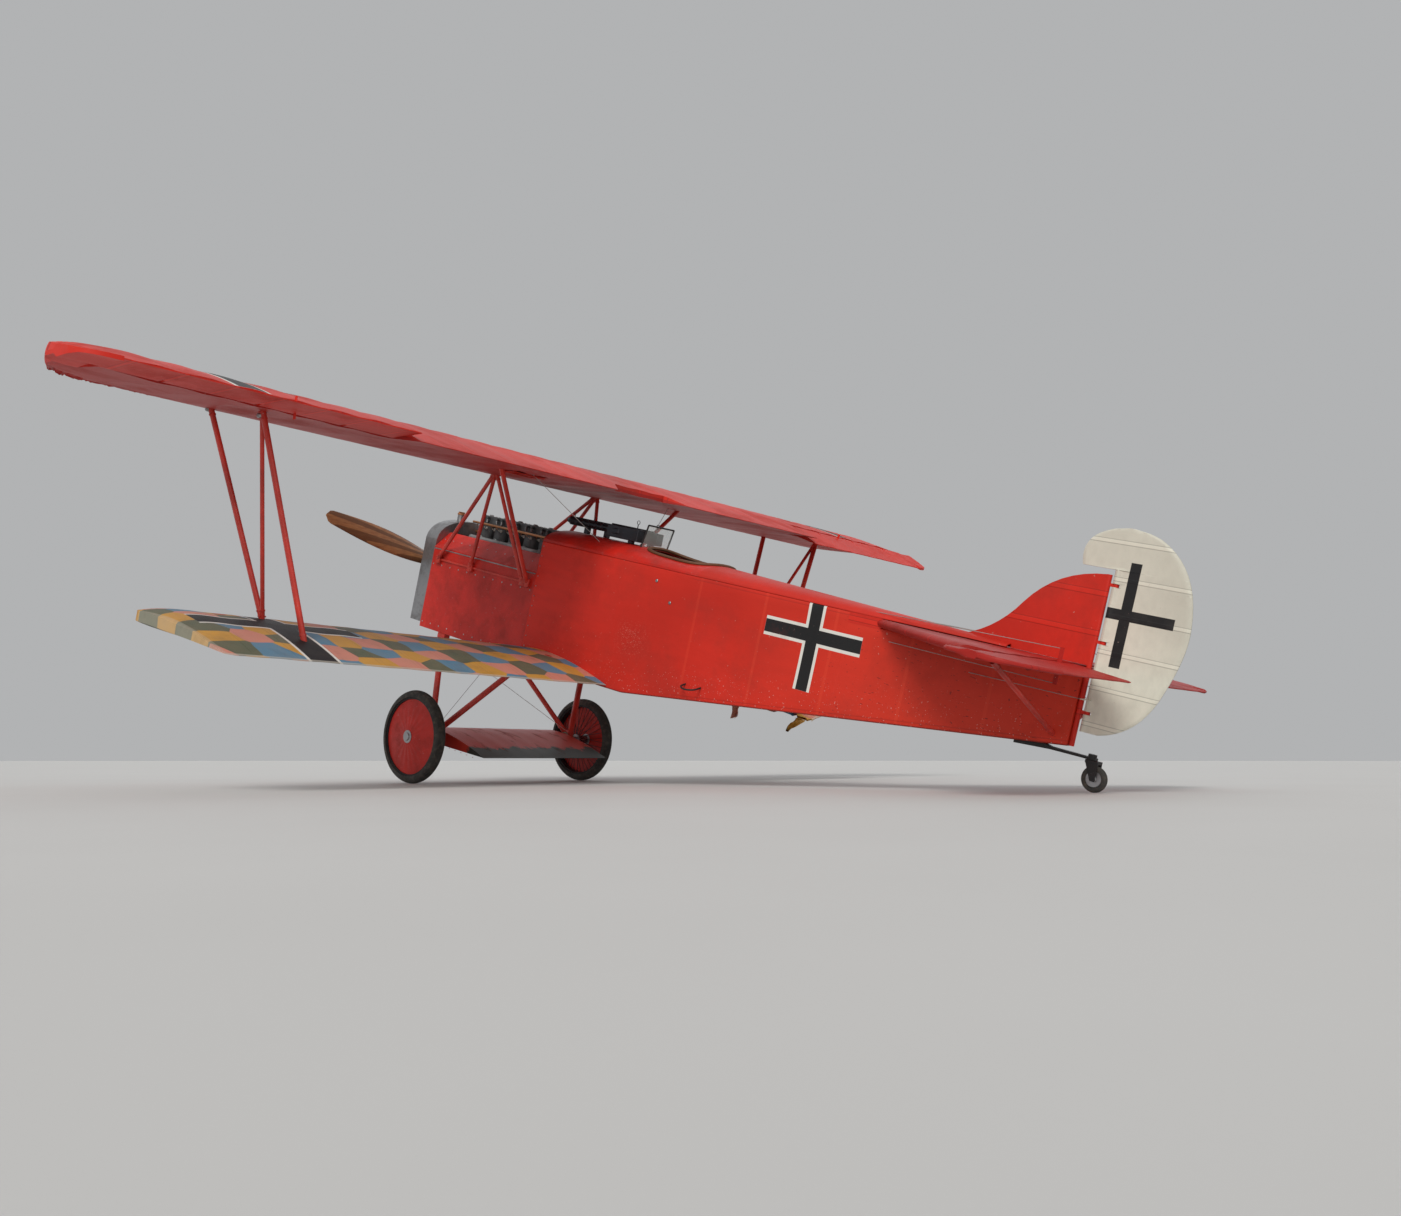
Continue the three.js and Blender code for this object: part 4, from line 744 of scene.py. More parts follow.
def upper_wing():
    """Upper wing: section over the plan with slack between ribs, a scalloped rear wire and the cutout
    over the cockpit. Port nose: folds are sines of the way back from the edge, faded by a bell curve."""
    x = stations(-UPPER_TIP, UPPER_TIP, 280, (-AILERON_BAY, AILERON_BAY, *HATCH_X))
    span = np.abs(x)
    wire = UPPER_TRAILING - slack(x, RIB_PITCH, 0.010)
    high = np.where(span < AILERON_BAY, wire, AILERON["hinge"] - 0.045)
    notch = CUTOUT_DEPTH * np.clip((CUTOUT - span) / CUTOUT_RUN, 0, 1)
    high = np.where(span < CUTOUT, UPPER_TRAILING - notch, high)
    port, starboard = np.interp(x, *PORT_NOSE.T), np.interp(-x, *STARBOARD_NOSE.T)
    low = UPPER["leading"] + np.where(x > 0, port, starboard)

    def heights(x, y):
        mean, half, s = wing_heights(y, **UPPER)
        half = half * tip_fall(np.abs(x), 3.98, 0.26, 0.75) - taut(s, x, RIB_PITCH, 0.006)
        back = y - np.broadcast_to(low[:, None], y.shape)
        cut = np.clip((low - UPPER["leading"]) / 0.03, 0, 1)[:, None]
        half = half * (1 - cut * (1 - np.sqrt(np.clip(back / 0.035, 0, 1))))
        crush = np.clip((x - 3.34) / 0.12, 0, 1) * np.clip((4.2 - x) / 0.08, 0, 1)
        crush = crush * np.exp(-((back / 0.19) ** 2))
        wander = 0.6 * np.sin(7 * x) + 0.34 * np.sin(19 * x + 1) + 0.15 * np.sin(47 * x + back * 60)
        ridge = np.abs(np.sin(np.pi * (back / 0.062 + wander))) - 0.55
        fold = ridge * 0.034 * crush * np.clip(back / 0.02, 0, 1)
        top, bottom = mean + half + fold - 0.02 * crush, mean - half + fold * 1.2 + 0.012 * crush
        in_hatch = (x > HATCH_X[0]) & (x < HATCH_X[1]) & (y > HATCH_Y[0]) & (y < HATCH_Y[1])
        return top, np.where(in_hatch, HATCH_TOP, bottom)

    marks = [(b - UPPER["leading"]) / UPPER["chord"] + e for b in HATCH_Y for e in (-STEP, STEP)]
    marks += list(np.linspace(0.006, 0.17, 22))
    lugs = [lug(side * a, AILERON["hinge"], AILERON["z"], AILERON["nose"], 0.07)
            for a in AILERON_LUGS for side in (1, -1)]
    return [skin(panel_rings(x, low, high, heights, 33, marks)), *lugs]


def slots(lugs):
    """Both sides of the slot round each lug."""
    return [a + e for a in lugs for e in (-LUG_SLOT, LUG_SLOT)]


def slotted(low, x, lugs, behind):
    """A front edge that falls back behind the hinge line in each lug's slot."""
    for a in lugs:
        low = np.where(np.abs(x - a) < LUG_SLOT, behind, low)
    return low


def hinged_half(y, low, s, hinge, nose, rear, plate):
    """Half thickness of a hinged surface: a circle ahead of the hinge, a straight wedge behind it,
    or the horn's plate with its front edge rounded by a square root, whichever is thicker."""
    rounded = np.sqrt(np.clip(nose**2 - np.minimum(y - hinge, 0) ** 2, 0, None))
    plate = plate * np.sqrt(np.clip((y - low[:, None]) / 0.01, 0, 1))
    return np.maximum(np.where(y < hinge, rounded, nose + (rear - nose) * s), plate)


def aileron():
    """Port aileron: round nose on the hinge line, straight wedge, rounded tip, balance horn, slots
    at the lugs and the horn for its cable."""
    hinge, z0, nose = AILERON["hinge"], AILERON["z"], AILERON["nose"]
    jumps = [*slots(AILERON_LUGS), AILERON_HORN_FROM]
    x = stations(AILERON["inner"], AILERON["outer"] - 0.001, 110, jumps)
    tip = bend((4.23, UPPER_TRAILING), (4.47, UPPER_TRAILING), (4.47, 1.92))
    high = np.interp(x, *tip.T) - slack(x, RIB_PITCH, 0.009) * (x < 4.2)
    balance = bend((AILERON_HORN_FROM, 1.515), (4.46, 1.51), (4.47, 1.65))
    low = np.where(x > AILERON_HORN_FROM, np.interp(x, *balance.T), hinge - nose)
    low = slotted(low, x, AILERON_LUGS, hinge + nose + 0.006)

    def heights(x, y):
        s = np.clip((y - hinge) / (UPPER_TRAILING - hinge), 0, 1)
        plate = np.where(x > AILERON_HORN_FROM, 0.013, 0.0)
        half = hinged_half(y, low, s, hinge, nose, 0.003, plate)
        half = half - slack(x, RIB_PITCH, 0.0025) * np.clip(s * 5, 0, 1) * (1 - s)
        return z0 - 0.031 * s + half, z0 - 0.031 * s - half

    horn = block((3.046, hinge - 0.002, z0 - 0.075), (3.052, hinge + 0.024, z0 + 0.075), 0.002)
    return merged([skin(panel_rings(x, low, high, heights, 23)), horn])


def hinged(shape, hinge_y, hinge_z, degrees):
    """Turns a shape about a line along x, trailing edge up for positive degrees."""
    c, s = math.cos(math.radians(degrees)), math.sin(math.radians(degrees))
    x, y, z = (shape[0] - [0, hinge_y, hinge_z]).T
    return np.stack([x, y * c - z * s + hinge_y, y * s + z * c + hinge_z], -1), shape[1]


CHORD_STEPS = 31


def lower_heights(x, y):
    """Lower wing's section, raised by the dihedral, slack between ribs and thinner at the tip."""
    mean, half, s = wing_heights(y, **LOWER)
    half = half * tip_fall(np.abs(x), 3.34, 0.22, 0.8) - taut(s, x, RIB_PITCH, 0.0035)
    mean = mean + np.abs(x) * DIHEDRAL
    return mean + half, mean - half


def lower_wing_left():
    """Whole lower wing: section over the plan with its raked, rounded tip."""
    x = stations(HALF_WIDTH + 0.0003, 3.558, 110)
    rake = [3.44, 3.5, 3.54, 3.558]
    high = np.interp(x, rake, [LOWER_TRAILING, LOWER_TRAILING - 0.02, 1.9, 1.5])
    high = high - slack(x, RIB_PITCH, 0.008) * (x < 3.4)
    low = LOWER["leading"] + np.interp(x, rake, [0, 0.03, 0.1, 0.17])
    return skin(panel_rings(x, low, high, lower_heights, CHORD_STEPS))


# Torn edges as (y, x): the wing's in the body frame, the tip's in its own flat frame
BREAK = np.array([(1.139, 2.34), (1.29, 2.41), (1.42, 2.28), (1.6, 2.38),
                  (1.75, 2.25), (1.96, 2.2), (2.08, 2.29), (2.382, 2.22)])
TIP_BREAK = np.array([(1.139, 0.0), (1.33, 0.0), (1.5, -0.06), (1.62, 0.05),
                      (1.8, -0.03), (2.04, 0.03), (2.23, -0.04), (2.382, 0)])
FAN_FROM, TIP_FAN_TO = 2.1, 0.2
WING_STRIPS = [
    # start, width, reach, curl
    ((-2.27, 1.36, -0.025), 0.16, 0.17, -0.13), ((-2.24, 1.75, 0.13), 0.2, 0.15, 0.05),
    ((-2.2, 1.92, -0.01), 0.14, 0.2, -0.16), ((-2.2, 2.2, 0.07), 0.16, 0.13, -0.09),
    ((-2.3, 1.6, -0.03), 0.12, 0.12, -0.11)]
TIP_STRIPS = [
    # start, width, reach, curl
    ((-0.02, 1.45, -0.05), 0.14, 0.13, -0.09), ((0.0, 1.9, 0.06), 0.16, 0.1, 0.07),
    ((-0.02, 2.2, -0.01), 0.12, 0.12, -0.08)]


def torn_edge(line, steps, seed):
    """The torn line's x at cosine-spread stations of the chord, with small random teeth."""
    y = LOWER["leading"] + LOWER["chord"] * (1 - np.cos(np.linspace(0, np.pi, steps))) / 2
    return np.interp(y, *line.T) + np.random.default_rng(seed).uniform(-0.02, 0.02, steps)


def hollowed(rings, depth, inset=0.004):
    """Gives an open end an inside: its last rings again, drawn in towards each ring's middle."""
    inner = rings[::-1][:depth].copy()
    centre = inner[..., 2].mean(axis=1, keepdims=True)
    inner[..., 2] += np.clip(centre - inner[..., 2], -inset, inset)
    return np.concatenate([rings, inner])


def torn_flaps(strips, seed):
    """Strips of torn cloth: each runs outward, narrows, curls by a power of the way along and ends
    ragged by a sine and a random step."""
    rng = np.random.default_rng(seed)
    flaps = []
    for start, width, reach, curl in strips:
        t, u = np.meshgrid(np.linspace(0, 1, 12), np.linspace(-0.5, 0.5, 7), indexing="ij")
        ragged = reach * (1 + 0.35 * np.sin(9 * u + rng.uniform(0, 6)) + rng.uniform(-0.15, 0.15, 7)[None, :])
        x = -t * ragged
        y = u * width * (1 - 0.45 * t) + 0.03 * np.sin(4 * t + rng.uniform(0, 6))
        z = curl * t**1.7 + 0.008 * np.sin(10 * t + 5 * u + rng.uniform(0, 6)) * t
        flaps.append(sheeted(np.stack([x, y, z], -1) + start, 0.0015))
    return flaps


def lower_wing_right():
    """Starboard lower wing to its break: rows run straight, then fan out onto the torn edge; the end
    is open and strips of cloth hang from it."""
    straight = np.linspace(HALF_WIDTH + 0.0003, FAN_FROM, 64)
    fan = np.linspace(0.12, 1, 10)[:, None] * (torn_edge(BREAK, CHORD_STEPS, 11) - FAN_FROM)
    across = np.concatenate([np.repeat(straight[:, None], CHORD_STEPS, 1), FAN_FROM + fan])
    low = np.full(len(across), LOWER["leading"])
    high = np.full(len(across), LOWER_TRAILING) - slack(across[:, 0], RIB_PITCH, 0.008)
    wing = panel_rings(across, low, high, lower_heights, CHORD_STEPS)
    return [flipped(skin(hollowed(wing, 22))), *torn_flaps(WING_STRIPS, 3)]


TIP_ORIGIN, TIP_TILT = np.array([-2.5, 0.0, -0.19]), math.radians(22)


def tip_place(points):
    """The broken tip's own flat frame to the body frame: tilted up about y and set beyond the break."""
    c, s = math.cos(TIP_TILT), math.sin(TIP_TILT)
    x, y, z = points.T
    return np.stack([x * c + z * s, y, -x * s + z * c], -1) + TIP_ORIGIN


def lower_tip():
    """Bent wing tip: rows fan out from the torn edge and run on to the rounded outer end. The open
    inner end is crumpled by a product of sines that fades outward."""
    edge = torn_edge(TIP_BREAK, CHORD_STEPS, 5)
    fan = edge + np.linspace(0, 1, 8)[:-1, None] * (TIP_FAN_TO - edge)
    straight = np.linspace(TIP_FAN_TO, 0.968, 32)
    across = np.concatenate([fan, np.repeat(straight[:, None], CHORD_STEPS, 1)])
    reach, rake = across[:, 0], [0.85, 0.91, 0.95, 0.968]
    low = LOWER["leading"] + np.interp(reach, rake, [0, 0.03, 0.1, 0.17])
    high = np.interp(reach, rake, [LOWER_TRAILING, LOWER_TRAILING - 0.02, 1.95, 1.5])

    def heights(x, y):
        mean, half, s = wing_heights(y, **{**LOWER, "level": 0})
        half = half * tip_fall(x, 0.75, 0.22, 0.8) - taut(s, x, RIB_PITCH, 0.0035, 0.11)
        fade = np.exp(-np.clip(x, 0, 9) / 0.09)
        crumple = 0.016 * np.sin(31 * y + 9 * x) * np.sin(17 * x + 4) * fade
        return mean + half + crumple, mean - half + crumple

    tip = panel_rings(across, low, high, heights, CHORD_STEPS)
    shell = flipped(skin(hollowed(tip[::-1], 18)))
    return [moved(shape, tip_place) for shape in (shell, *handed(torn_flaps(TIP_STRIPS, 6), -1))]


def splinter(a, b, width, height, seed):
    """Broken spar: a square beam whose end is drawn out into uneven splinters."""
    rng = np.random.default_rng(seed)
    a, b, beam = np.asarray(a, float), np.asarray(b, float), []
    for i in range(3):
        for j in range(4):
            corner = np.array([0, (i / 3 - 0.5) * width, (j / 4 - 0.5) * height])
            end = a + (b - a) * min(rng.uniform(0.8, 1.05), 1.0)
            square = np.array([(0, 0, 0), (0, width / 3, 0), (0, width / 3, height / 4), (0, 0, height / 4)])
            beam.append(skin([p + corner + square * k for p, k in
                              ((a, 1), (a + (end - a) * 0.8, 0.98), (end, rng.uniform(0.1, 0.6)))]))
    return beam


def wing_rib(x, y0, y1, place=None):
    """Wooden truss rib: a cap strip under each skin and struts in zigzag between them."""
    y = np.linspace(y0, y1, 14)
    mean, half, _ = wing_heights(y, **{**LOWER, "level": 0 if place else LOWER["level"] + abs(x) * DIHEDRAL})
    caps = [np.stack([np.full(14, x), y, mean + side * (half - 0.011)], -1) for side in (1, -1)]
    zigzag = [(caps[k % 2][2 * k], caps[(k + 1) % 2][min(2 * k + 2, 13)]) for k in range(6)]
    shapes = [tube(cap, 0.006, 4) for cap in caps] + [rod(a, b, 0.0045, 4) for a, b in zigzag]
    return [moved(shape, place) for shape in shapes] if place else shapes


def broken_wood():
    """Two spars splintered at the break, and two truss ribs on each side of it."""
    spars = [*splinter((-2.12, 1.465, 0.068), (-2.64, 1.50, -0.085), 0.042, 0.088, 3),
             *splinter((-2.12, 2.01, 0.068), (-2.61, 1.985, -0.095), 0.034, 0.062, 9)]
    return [*spars, *wing_rib(-2.12, 1.2, 2.3), *wing_rib(-2.27, 1.2, 1.72),
            *wing_rib(-0.03, 1.2, 1.9, tip_place), *wing_rib(-0.2, 1.2, 2.3, tip_place)]


ELEVATOR_NOSE, TAIL_HALF = 0.024, 0.0298


def tailplane():
    """Tailplane: arrow plan, a circular leading edge, slack between ribs, lugs for the elevator."""
    x = stations(0.001 - TAILPLANE["tip"], TAILPLANE["tip"] - 0.001, 120)
    low = TAILPLANE["apex"] + (TAILPLANE["corner"] - TAILPLANE["apex"]) * np.abs(x) / TAILPLANE["tip"]
    high = np.full(len(x), TAILPLANE["hinge"] - 0.031)
    level = TAILPLANE["z"] - 0.0006

    def heights(x, y):
        back = y - low[:, None]
        half = TAIL_HALF * np.sqrt(1 - (1 - np.clip(back / 0.06, 0, 1)) ** 2) + 0.0001
        half = half - slack(x, TAIL_RIB_PITCH, 0.003) * np.clip((back - 0.06) * 8, 0, 1)
        return level + half, level - half

    lugs = [lug(a, TAILPLANE["hinge"], TAILPLANE["z"], ELEVATOR_NOSE, 0.05)
            for k in ELEVATOR_LUGS for a in (k, -k)]
    return [skin(panel_rings(x, low, high, heights, 25)), *lugs]


def root_fillet():
    """Strip that closes the step in front of the tailplane: a four-cornered section carried along
    the fuselage's side, flush with it, up to the decking."""
    y = np.linspace(TAIL_SEAT_FROM - 0.004, 4.535, 12)
    outer, inner = half_width(y) + 0.0006, half_width(y) - 0.009
    low, high = TAIL_SEAT - 0.012, TOP - 0.001
    corners = [(outer, low), (outer, high), (inner, high), (inner, low)]
    return paired([skin(np.stack([np.stack([x, y, np.full(12, z)], -1) for x, z in corners], 1))])


def elevator_half(inner_corner):
    """Port half of the elevator: round nose, wedge to the rear edge, balance horn, slots at the lugs;
    its inner corner is given."""
    hinge, z0, nose = TAILPLANE["hinge"], TAILPLANE["z"], ELEVATOR_NOSE
    x = stations(0.061, 1.4475, 100, [*slots(ELEVATOR_LUGS), ELEVATOR_HORN_FROM])
    rear = bend((1.01, 6.288), (1.448, 6.21), (1.448, 5.92), 14)
    high = np.interp(x, *np.concatenate([inner_corner, rear]).T)
    high = high - slack(x, TAIL_RIB_PITCH, 0.006) * (x > 0.3) * (x < 1.0)
    front = bend((1.3, 5.657), (1.418, 5.67), (1.448, 5.92), 12)
    front = np.concatenate([[(ELEVATOR_HORN_FROM, 5.657)], front])
    low = np.where(x > ELEVATOR_HORN_FROM, np.interp(x, *front.T), hinge - nose)
    low = slotted(low, x, ELEVATOR_LUGS, hinge + nose + 0.006)

    def heights(x, y):
        s = np.clip((y - hinge) / 0.438, 0, 1)
        rim = np.sqrt(np.clip((high[:, None] - y) / 0.012, 0.15, 1))
        plate = np.where(x > ELEVATOR_HORN_FROM, 0.0125, 0.0)
        half = hinged_half(y, low, s, hinge, nose, 0.005, plate) * rim
        half = half - slack(x, TAIL_RIB_PITCH, 0.002) * np.clip(s * 5, 0, 1) * (1 - s)
        return z0 + half, z0 - half

    return skin(panel_rings(x, low, high, heights, 23))


def elevator():
    """Elevator: two halves whose inner corners differ, the tube that joins them, a horn a side."""
    hinge, z0, root = TAILPLANE["hinge"], TAILPLANE["z"], [(0.06, 5.94)]
    sharp = np.concatenate([root, bend((0.23, 6.26), (0.238, 6.28), (0.258, 6.28), 4)])
    wide = np.concatenate([root, bend((0.186, 6.15), (0.238, 6.28), (0.368, 6.28), 8)])
    joint = rod((-0.09, hinge, z0), (0.09, hinge, z0), 0.0138, 20)
    horn = block((0.297, hinge - 0.014, z0 - 0.11), (0.303, hinge + 0.014, z0 + 0.11), 0.0025)
    return [elevator_half(sharp), flipped(elevator_half(wide)), joint, *paired([horn])]


def rudder():
    """Rudder: a panel whose stations run up z and whose thickness lies in x, with a rounded edge, a
    circular bulge at the hinge tube and the balance over the fin."""
    arcs = [((6.06, 0.605), (6.3, 0.66), (6.39, 0.95)), ((6.39, 0.95), (6.47, 1.18), (6.455, 1.33)),
            ((6.455, 1.33), (6.43, 1.68), (6.18, 1.81))]
    crown = bend((6.18, 1.81), (5.96, 1.9), (5.79, 1.79), 20)
    peak = np.argmax(crown[:, 1])
    back = np.concatenate([arcs[0][:1], *(bend(*arc)[1:] for arc in arcs), crown[1:peak + 1]])
    front = bend((5.74, BALANCE_FROM), (5.7, 1.72), (5.79, 1.79))
    front = np.concatenate([front, crown[::-1][1:len(crown) - peak]])
    z = stations(0.6055, crown[peak, 1] - 0.0008, 96, [*slots(RUDDER_LUGS), BALANCE_FROM])
    high = np.interp(z, back[:, 1], back[:, 0])
    low = np.where(z > BALANCE_FROM, np.interp(z, front[:, 1], front[:, 0]), RUDDER_HINGE - 0.0215)
    low = slotted(low, z, RUDDER_LUGS, RUDDER_HINGE + 0.028)

    def heights(z, y):
        bulge = np.sqrt(np.clip(0.022**2 - (y - RUDDER_HINGE) ** 2, 0, None)) * (z < 1.6)
        edge = np.minimum(high[:, None] - y, np.where(z > BALANCE_FROM, y - low[:, None], 1))
        rim = np.sqrt(np.clip(edge / 0.02, 0.1, 1))
        in_front = (z < BALANCE_FROM) & (y < RUDDER_HINGE - 0.003)
        half = np.where(in_front, bulge, np.maximum(0.015 * rim, bulge))
        sunk = slack(z, RUDDER_RIB_PITCH, 0.0024, 0.02) * np.clip((y - 6.0) * 10, 0, 1)
        half = half - sunk * rim * 0.8
        return half, -half

    panel = skin(panel_rings(z, low, high, heights, 23))
    horn = block((-0.13, RUDDER_HINGE - 0.013, 0.798), (0.13, RUDDER_HINGE + 0.013, 0.804), 0.002)
    return [moved(panel, lambda p: p[:, [2, 1, 0]]), horn]


def fuselage():
    """Fuselage: rings of belly, rounded edge, side and top, made for port and mirrored; cloth sinks by
    a squared sine between frames, and over the well the top's middle drops to its floor."""
    y = stations(FIREWALL, STERN, 170, (*WELL, TAIL_SEAT_FROM))
    wide, low = half_width(y)[:, None], belly(y)[:, None]
    top = np.where(y > TAIL_SEAT_FROM, TAIL_SEAT, TOP)[:, None]
    floor = np.where((y > WELL[0]) & (y < WELL[1]), WELL_FLOOR, top[:, 0])[:, None]
    edge = np.minimum(0.012, wide / 3)
    sag = slack(y, FRAME_PITCH, 0.011, FIREWALL)[:, None] * np.clip((y[:, None] - 2.9) * 3, 0.15, 1)
    turn = np.linspace(0, np.pi / 2, 4)[1:-1]
    u, v = np.linspace(0, 1, 8), np.linspace(0, 1, 14)
    inner = np.maximum(wide - WALL, wide * 0.5)
    parts = [((wide - edge) * u, low + sag * 0.7 * np.cos(np.pi / 2 * u)),
             (wide - edge + edge * np.sin(turn), low + edge - edge * np.cos(turn)),
             (wide - sag * np.sin(np.pi * v), low + edge + (top - low - 2 * edge) * v),
             (wide - edge + edge * np.cos(turn), top - edge + edge * np.sin(turn)),
             (wide - edge + 0 * top, top + 0 * wide),
             (inner + 0 * u[:4], top + (floor - top) * u[:4] / u[3]),
             (inner * (1 - u[1:4] / u[3]), floor + 0 * u[1:4])]
    half = np.concatenate([np.stack(np.broadcast_arrays(x, z), -1) for x, z in parts], axis=1)
    ring = np.concatenate([half, (half * [-1, 1])[:, ::-1][:, 1:-1]], axis=1)
    stand = np.broadcast_to(y[:, None], ring.shape[:2])
    return skin(np.stack([ring[..., 0], stand, ring[..., 1]], -1))


def deck_height(x, y):
    """Top of the rounded decking: half an ellipse as wide as the fuselage and a fixed share of that high."""
    wide = half_width(y)
    return TOP + 0.0003 + DECK_RISE / HALF_WIDTH * np.sqrt(np.clip(wide**2 - x**2, 0, None))


def cockpit_rim():
    """Padded rim: an ellipse carried round the cockpit hole over the decking, pinched at each eighth
    ring by its lacing. The hole's outline is cosine and sine raised to a power."""
    t = np.linspace(0, 2 * np.pi, 200, endpoint=False)
    power = 0.62
    x = 0.241 * np.sign(np.cos(t)) * np.abs(np.cos(t)) ** power
    y = 2.6275 + 0.3385 * np.sign(np.sin(t)) * np.abs(np.sin(t)) ** power
    path = np.stack([x, y, deck_height(x, y) + 0.004], -1)
    way = unit(np.roll(path, -1, 0) - np.roll(path, 1, 0))
    side = unit(np.cross(way, [0, 0, 1.0]))
    over = np.cross(side, way)
    a = np.linspace(0, 2 * np.pi, 14, endpoint=False)[None, :, None]
    pinch = (1 - 0.10 * (np.arange(200) % 8 == 0))[:, None, None]
    ring = 0.020 * np.cos(a) * side[:, None] + 0.0135 * np.sin(a) * over[:, None]
    return skin(path[:, None] + pinch * ring, closed=True)


def strut(a, b, width, chord):
    """Streamlined steel tube with a round socket, a collar and a pin at each end."""
    a, b = np.array(a, float), np.array(b, float)
    way = unit(b - a)
    parts = [rod(a, b, width / 2, 16, chord, 6)]
    for end, turn in ((a, way), (b, -way)):
        pin = end + turn * 0.035
        parts += [rod(end, end + turn * 0.075, width / 2 + 0.003, 16),
                  disc(end + turn * 0.07, turn, width / 2 + 0.006, 0, 0.012, 18, 0.002),
                  rod(pin - [0.024, 0, 0], pin + [0.024, 0, 0], 0.006, 8)]
    return parts


FRONT_SPAR, REAR_SPAR = (0.6, 0.83, 1.49), (1.06, 1.44, 1.52)
CABANE = [
    # foot, top, width
    ((0.395, 0.02, 0.64), FRONT_SPAR, 0.028), ((0.395, 0.48, 0.64), FRONT_SPAR, 0.028),
    ((0.395, 1.18, 0.64), FRONT_SPAR, 0.028), ((0.395, 1.24, 0.64), REAR_SPAR, 0.032)]
GEAR_LEGS = [((0.345, 0.23, -0.022), (0.765, 0.87, -0.73)), ((0.345, 1.35, -0.022), (0.765, 0.93, -0.73))]
BAY_TOP, BAY_TOPS = 3.11, ((0.83, 1.487), (1.52, 1.52))
BAY_FEET = {1: ((2.8, 1.47, 0.135), (2.8, 2.03, 0.08)), -1: ((-2.24, 1.47, 0.11), (-2.24, 2.01, 0.08))}


def bay(side):
    """The three tubes of an interplane strut, from two feet to their tops on the spars."""
    (front, rear), tops = BAY_FEET[side], [(side * BAY_TOP, *top) for top in BAY_TOPS]
    return [*strut(front, tops[0], 0.034, 0.052), *strut(rear, tops[1], 0.034, 0.052),
            *strut(front, tops[1], 0.026, 0.036)]


def strut_knobs():
    """A round fitting under the spar at each top of the interplane struts."""
    return [disc((side * BAY_TOP, y, z), (0, 0, 1), 0.024, -0.03, 0.0, 20, 0.008)
            for side in (1, -1) for y, z in ((0.83, 1.462), (1.52, 1.478))]


def cabane(side):
    """Four slanted tubes from the fuselage to the spars, with pads, a rail and bolt heads."""
    tubes = [part for a, b, width in CABANE for part in strut(a, b, width, width * 1.35)]
    pads = [block((HALF_WIDTH + 0.0005, y - 0.03, z - 0.045), (x + 0.008, y + 0.03, z + 0.025))
            for (x, y, z), *_ in CABANE]
    rail = block((HALF_WIDTH + 0.0005, -0.01, 0.622), (HALF_WIDTH + 0.012, 1.27, 0.64), 0.002)
    rows = [((x + 0.008, y - 0.02, z + up), (x + 0.008, y + 0.02, z + up))
            for (x, y, z), *_ in CABANE for up in (-0.03, 0.012)]
    bolts = [head for row in rows for head in studs(*row, 2, (1, 0, 0), 0.006, 0.005, 6)]
    return handed([*tubes, *pads, rail, *bolts], side)


def gear(side):
    """Two legs down to the shoe that holds the axle, and their pads under the fuselage."""
    legs = [part for a, b in GEAR_LEGS for part in strut(a, b, 0.04, 0.06)]
    shoe = block((0.742, 0.84, -0.855), (0.788, 0.96, -0.695), 0.012)
    pads = [block((0.31, 0.19, -0.048), (0.374, 0.29, -0.0005)),
            block((0.31, 1.325, -0.048), (0.374, 1.4, -0.0005))]
    return handed([*legs, shoe, *pads], side)


def bound_cord(side):
    """Rubber cord round the axle and its shoe: eight turns of a circle that move evenly along x."""
    t = np.linspace(0, 2 * np.pi * 8, 8 * 28)
    x = 0.765 + 0.036 * (t / t[-1] - 0.5) * 2
    path = np.stack([x, 0.9 + 0.058 * np.cos(t), -0.775 + 0.058 * np.sin(t)], -1)
    return handed([tube(path, 0.0055, 7)], side)


def tail_strut(side):
    """Strut from the stern up to the tailplane's tip."""
    return handed(strut((0.03, 5.8, 0.548), (1.0, 5.795, 0.935), 0.028, 0.034), side)


def axle_wing():
    """Small wing on the axle: section over a straight plan, with the axle tube through it."""
    x = stations(-0.7, 0.7, 50)

    def heights(x, y):
        mean, half, s = wing_heights(y, 0.61, 0.89, -0.794, 0.13, 0.02)
        half = half - slack(x, 0.175, 0.002) * np.clip(s * 5, 0, 1) * np.clip((1 - s) * 5, 0, 1)
        return mean + half, mean - half

    heads = [head for x0 in (-0.64, 0.64)
             for head in studs((x0, 0.75, -0.858), (x0, 1.3, -0.842), 8, (0, 0, -1), 0.005, 0.003)]
    return [skin(panel_rings(x, np.full(50, 0.61), np.full(50, 1.5), heights, 27)), *heads]


def axle_tube():
    """The axle: a long disc about x."""
    return disc((0, 0.9, -0.78), (1, 0, 0), 0.028, -0.985, 0.985, 32, 0.003)


def wheel_frame(side):
    """Spoked wheel: a spun rim, and spokes that start in turn from two flanges, each leaning one way
    or the other round the hub."""
    centre = MAIN_HUB * [side, 1, 1]
    profile = [(0.322, -0.038), (0.322, 0.038), (0.308, 0.038), (0.302, 0.02), (0.302, -0.02), (0.308, -0.038)]
    parts = [turned(profile, centre, (side, 0, 0), 88, True)]
    for k in range(SPOKES):
        a = 2 * math.pi * k / SPOKES
        lean = a + (0.42 if k % 2 else -0.42)
        out = -0.07 if k % 4 < 2 else -0.062
        foot = np.array([side * out, 0.046 * math.cos(lean), 0.046 * math.sin(lean)]) + centre
        head = np.array([side * -0.012, 0.304 * math.cos(a), 0.304 * math.sin(a)]) + centre
        parts += [rod(foot, head, 0.0024, 6), rod(head + (foot - head) * 0.07, head, 0.0042, 6)]
    return parts


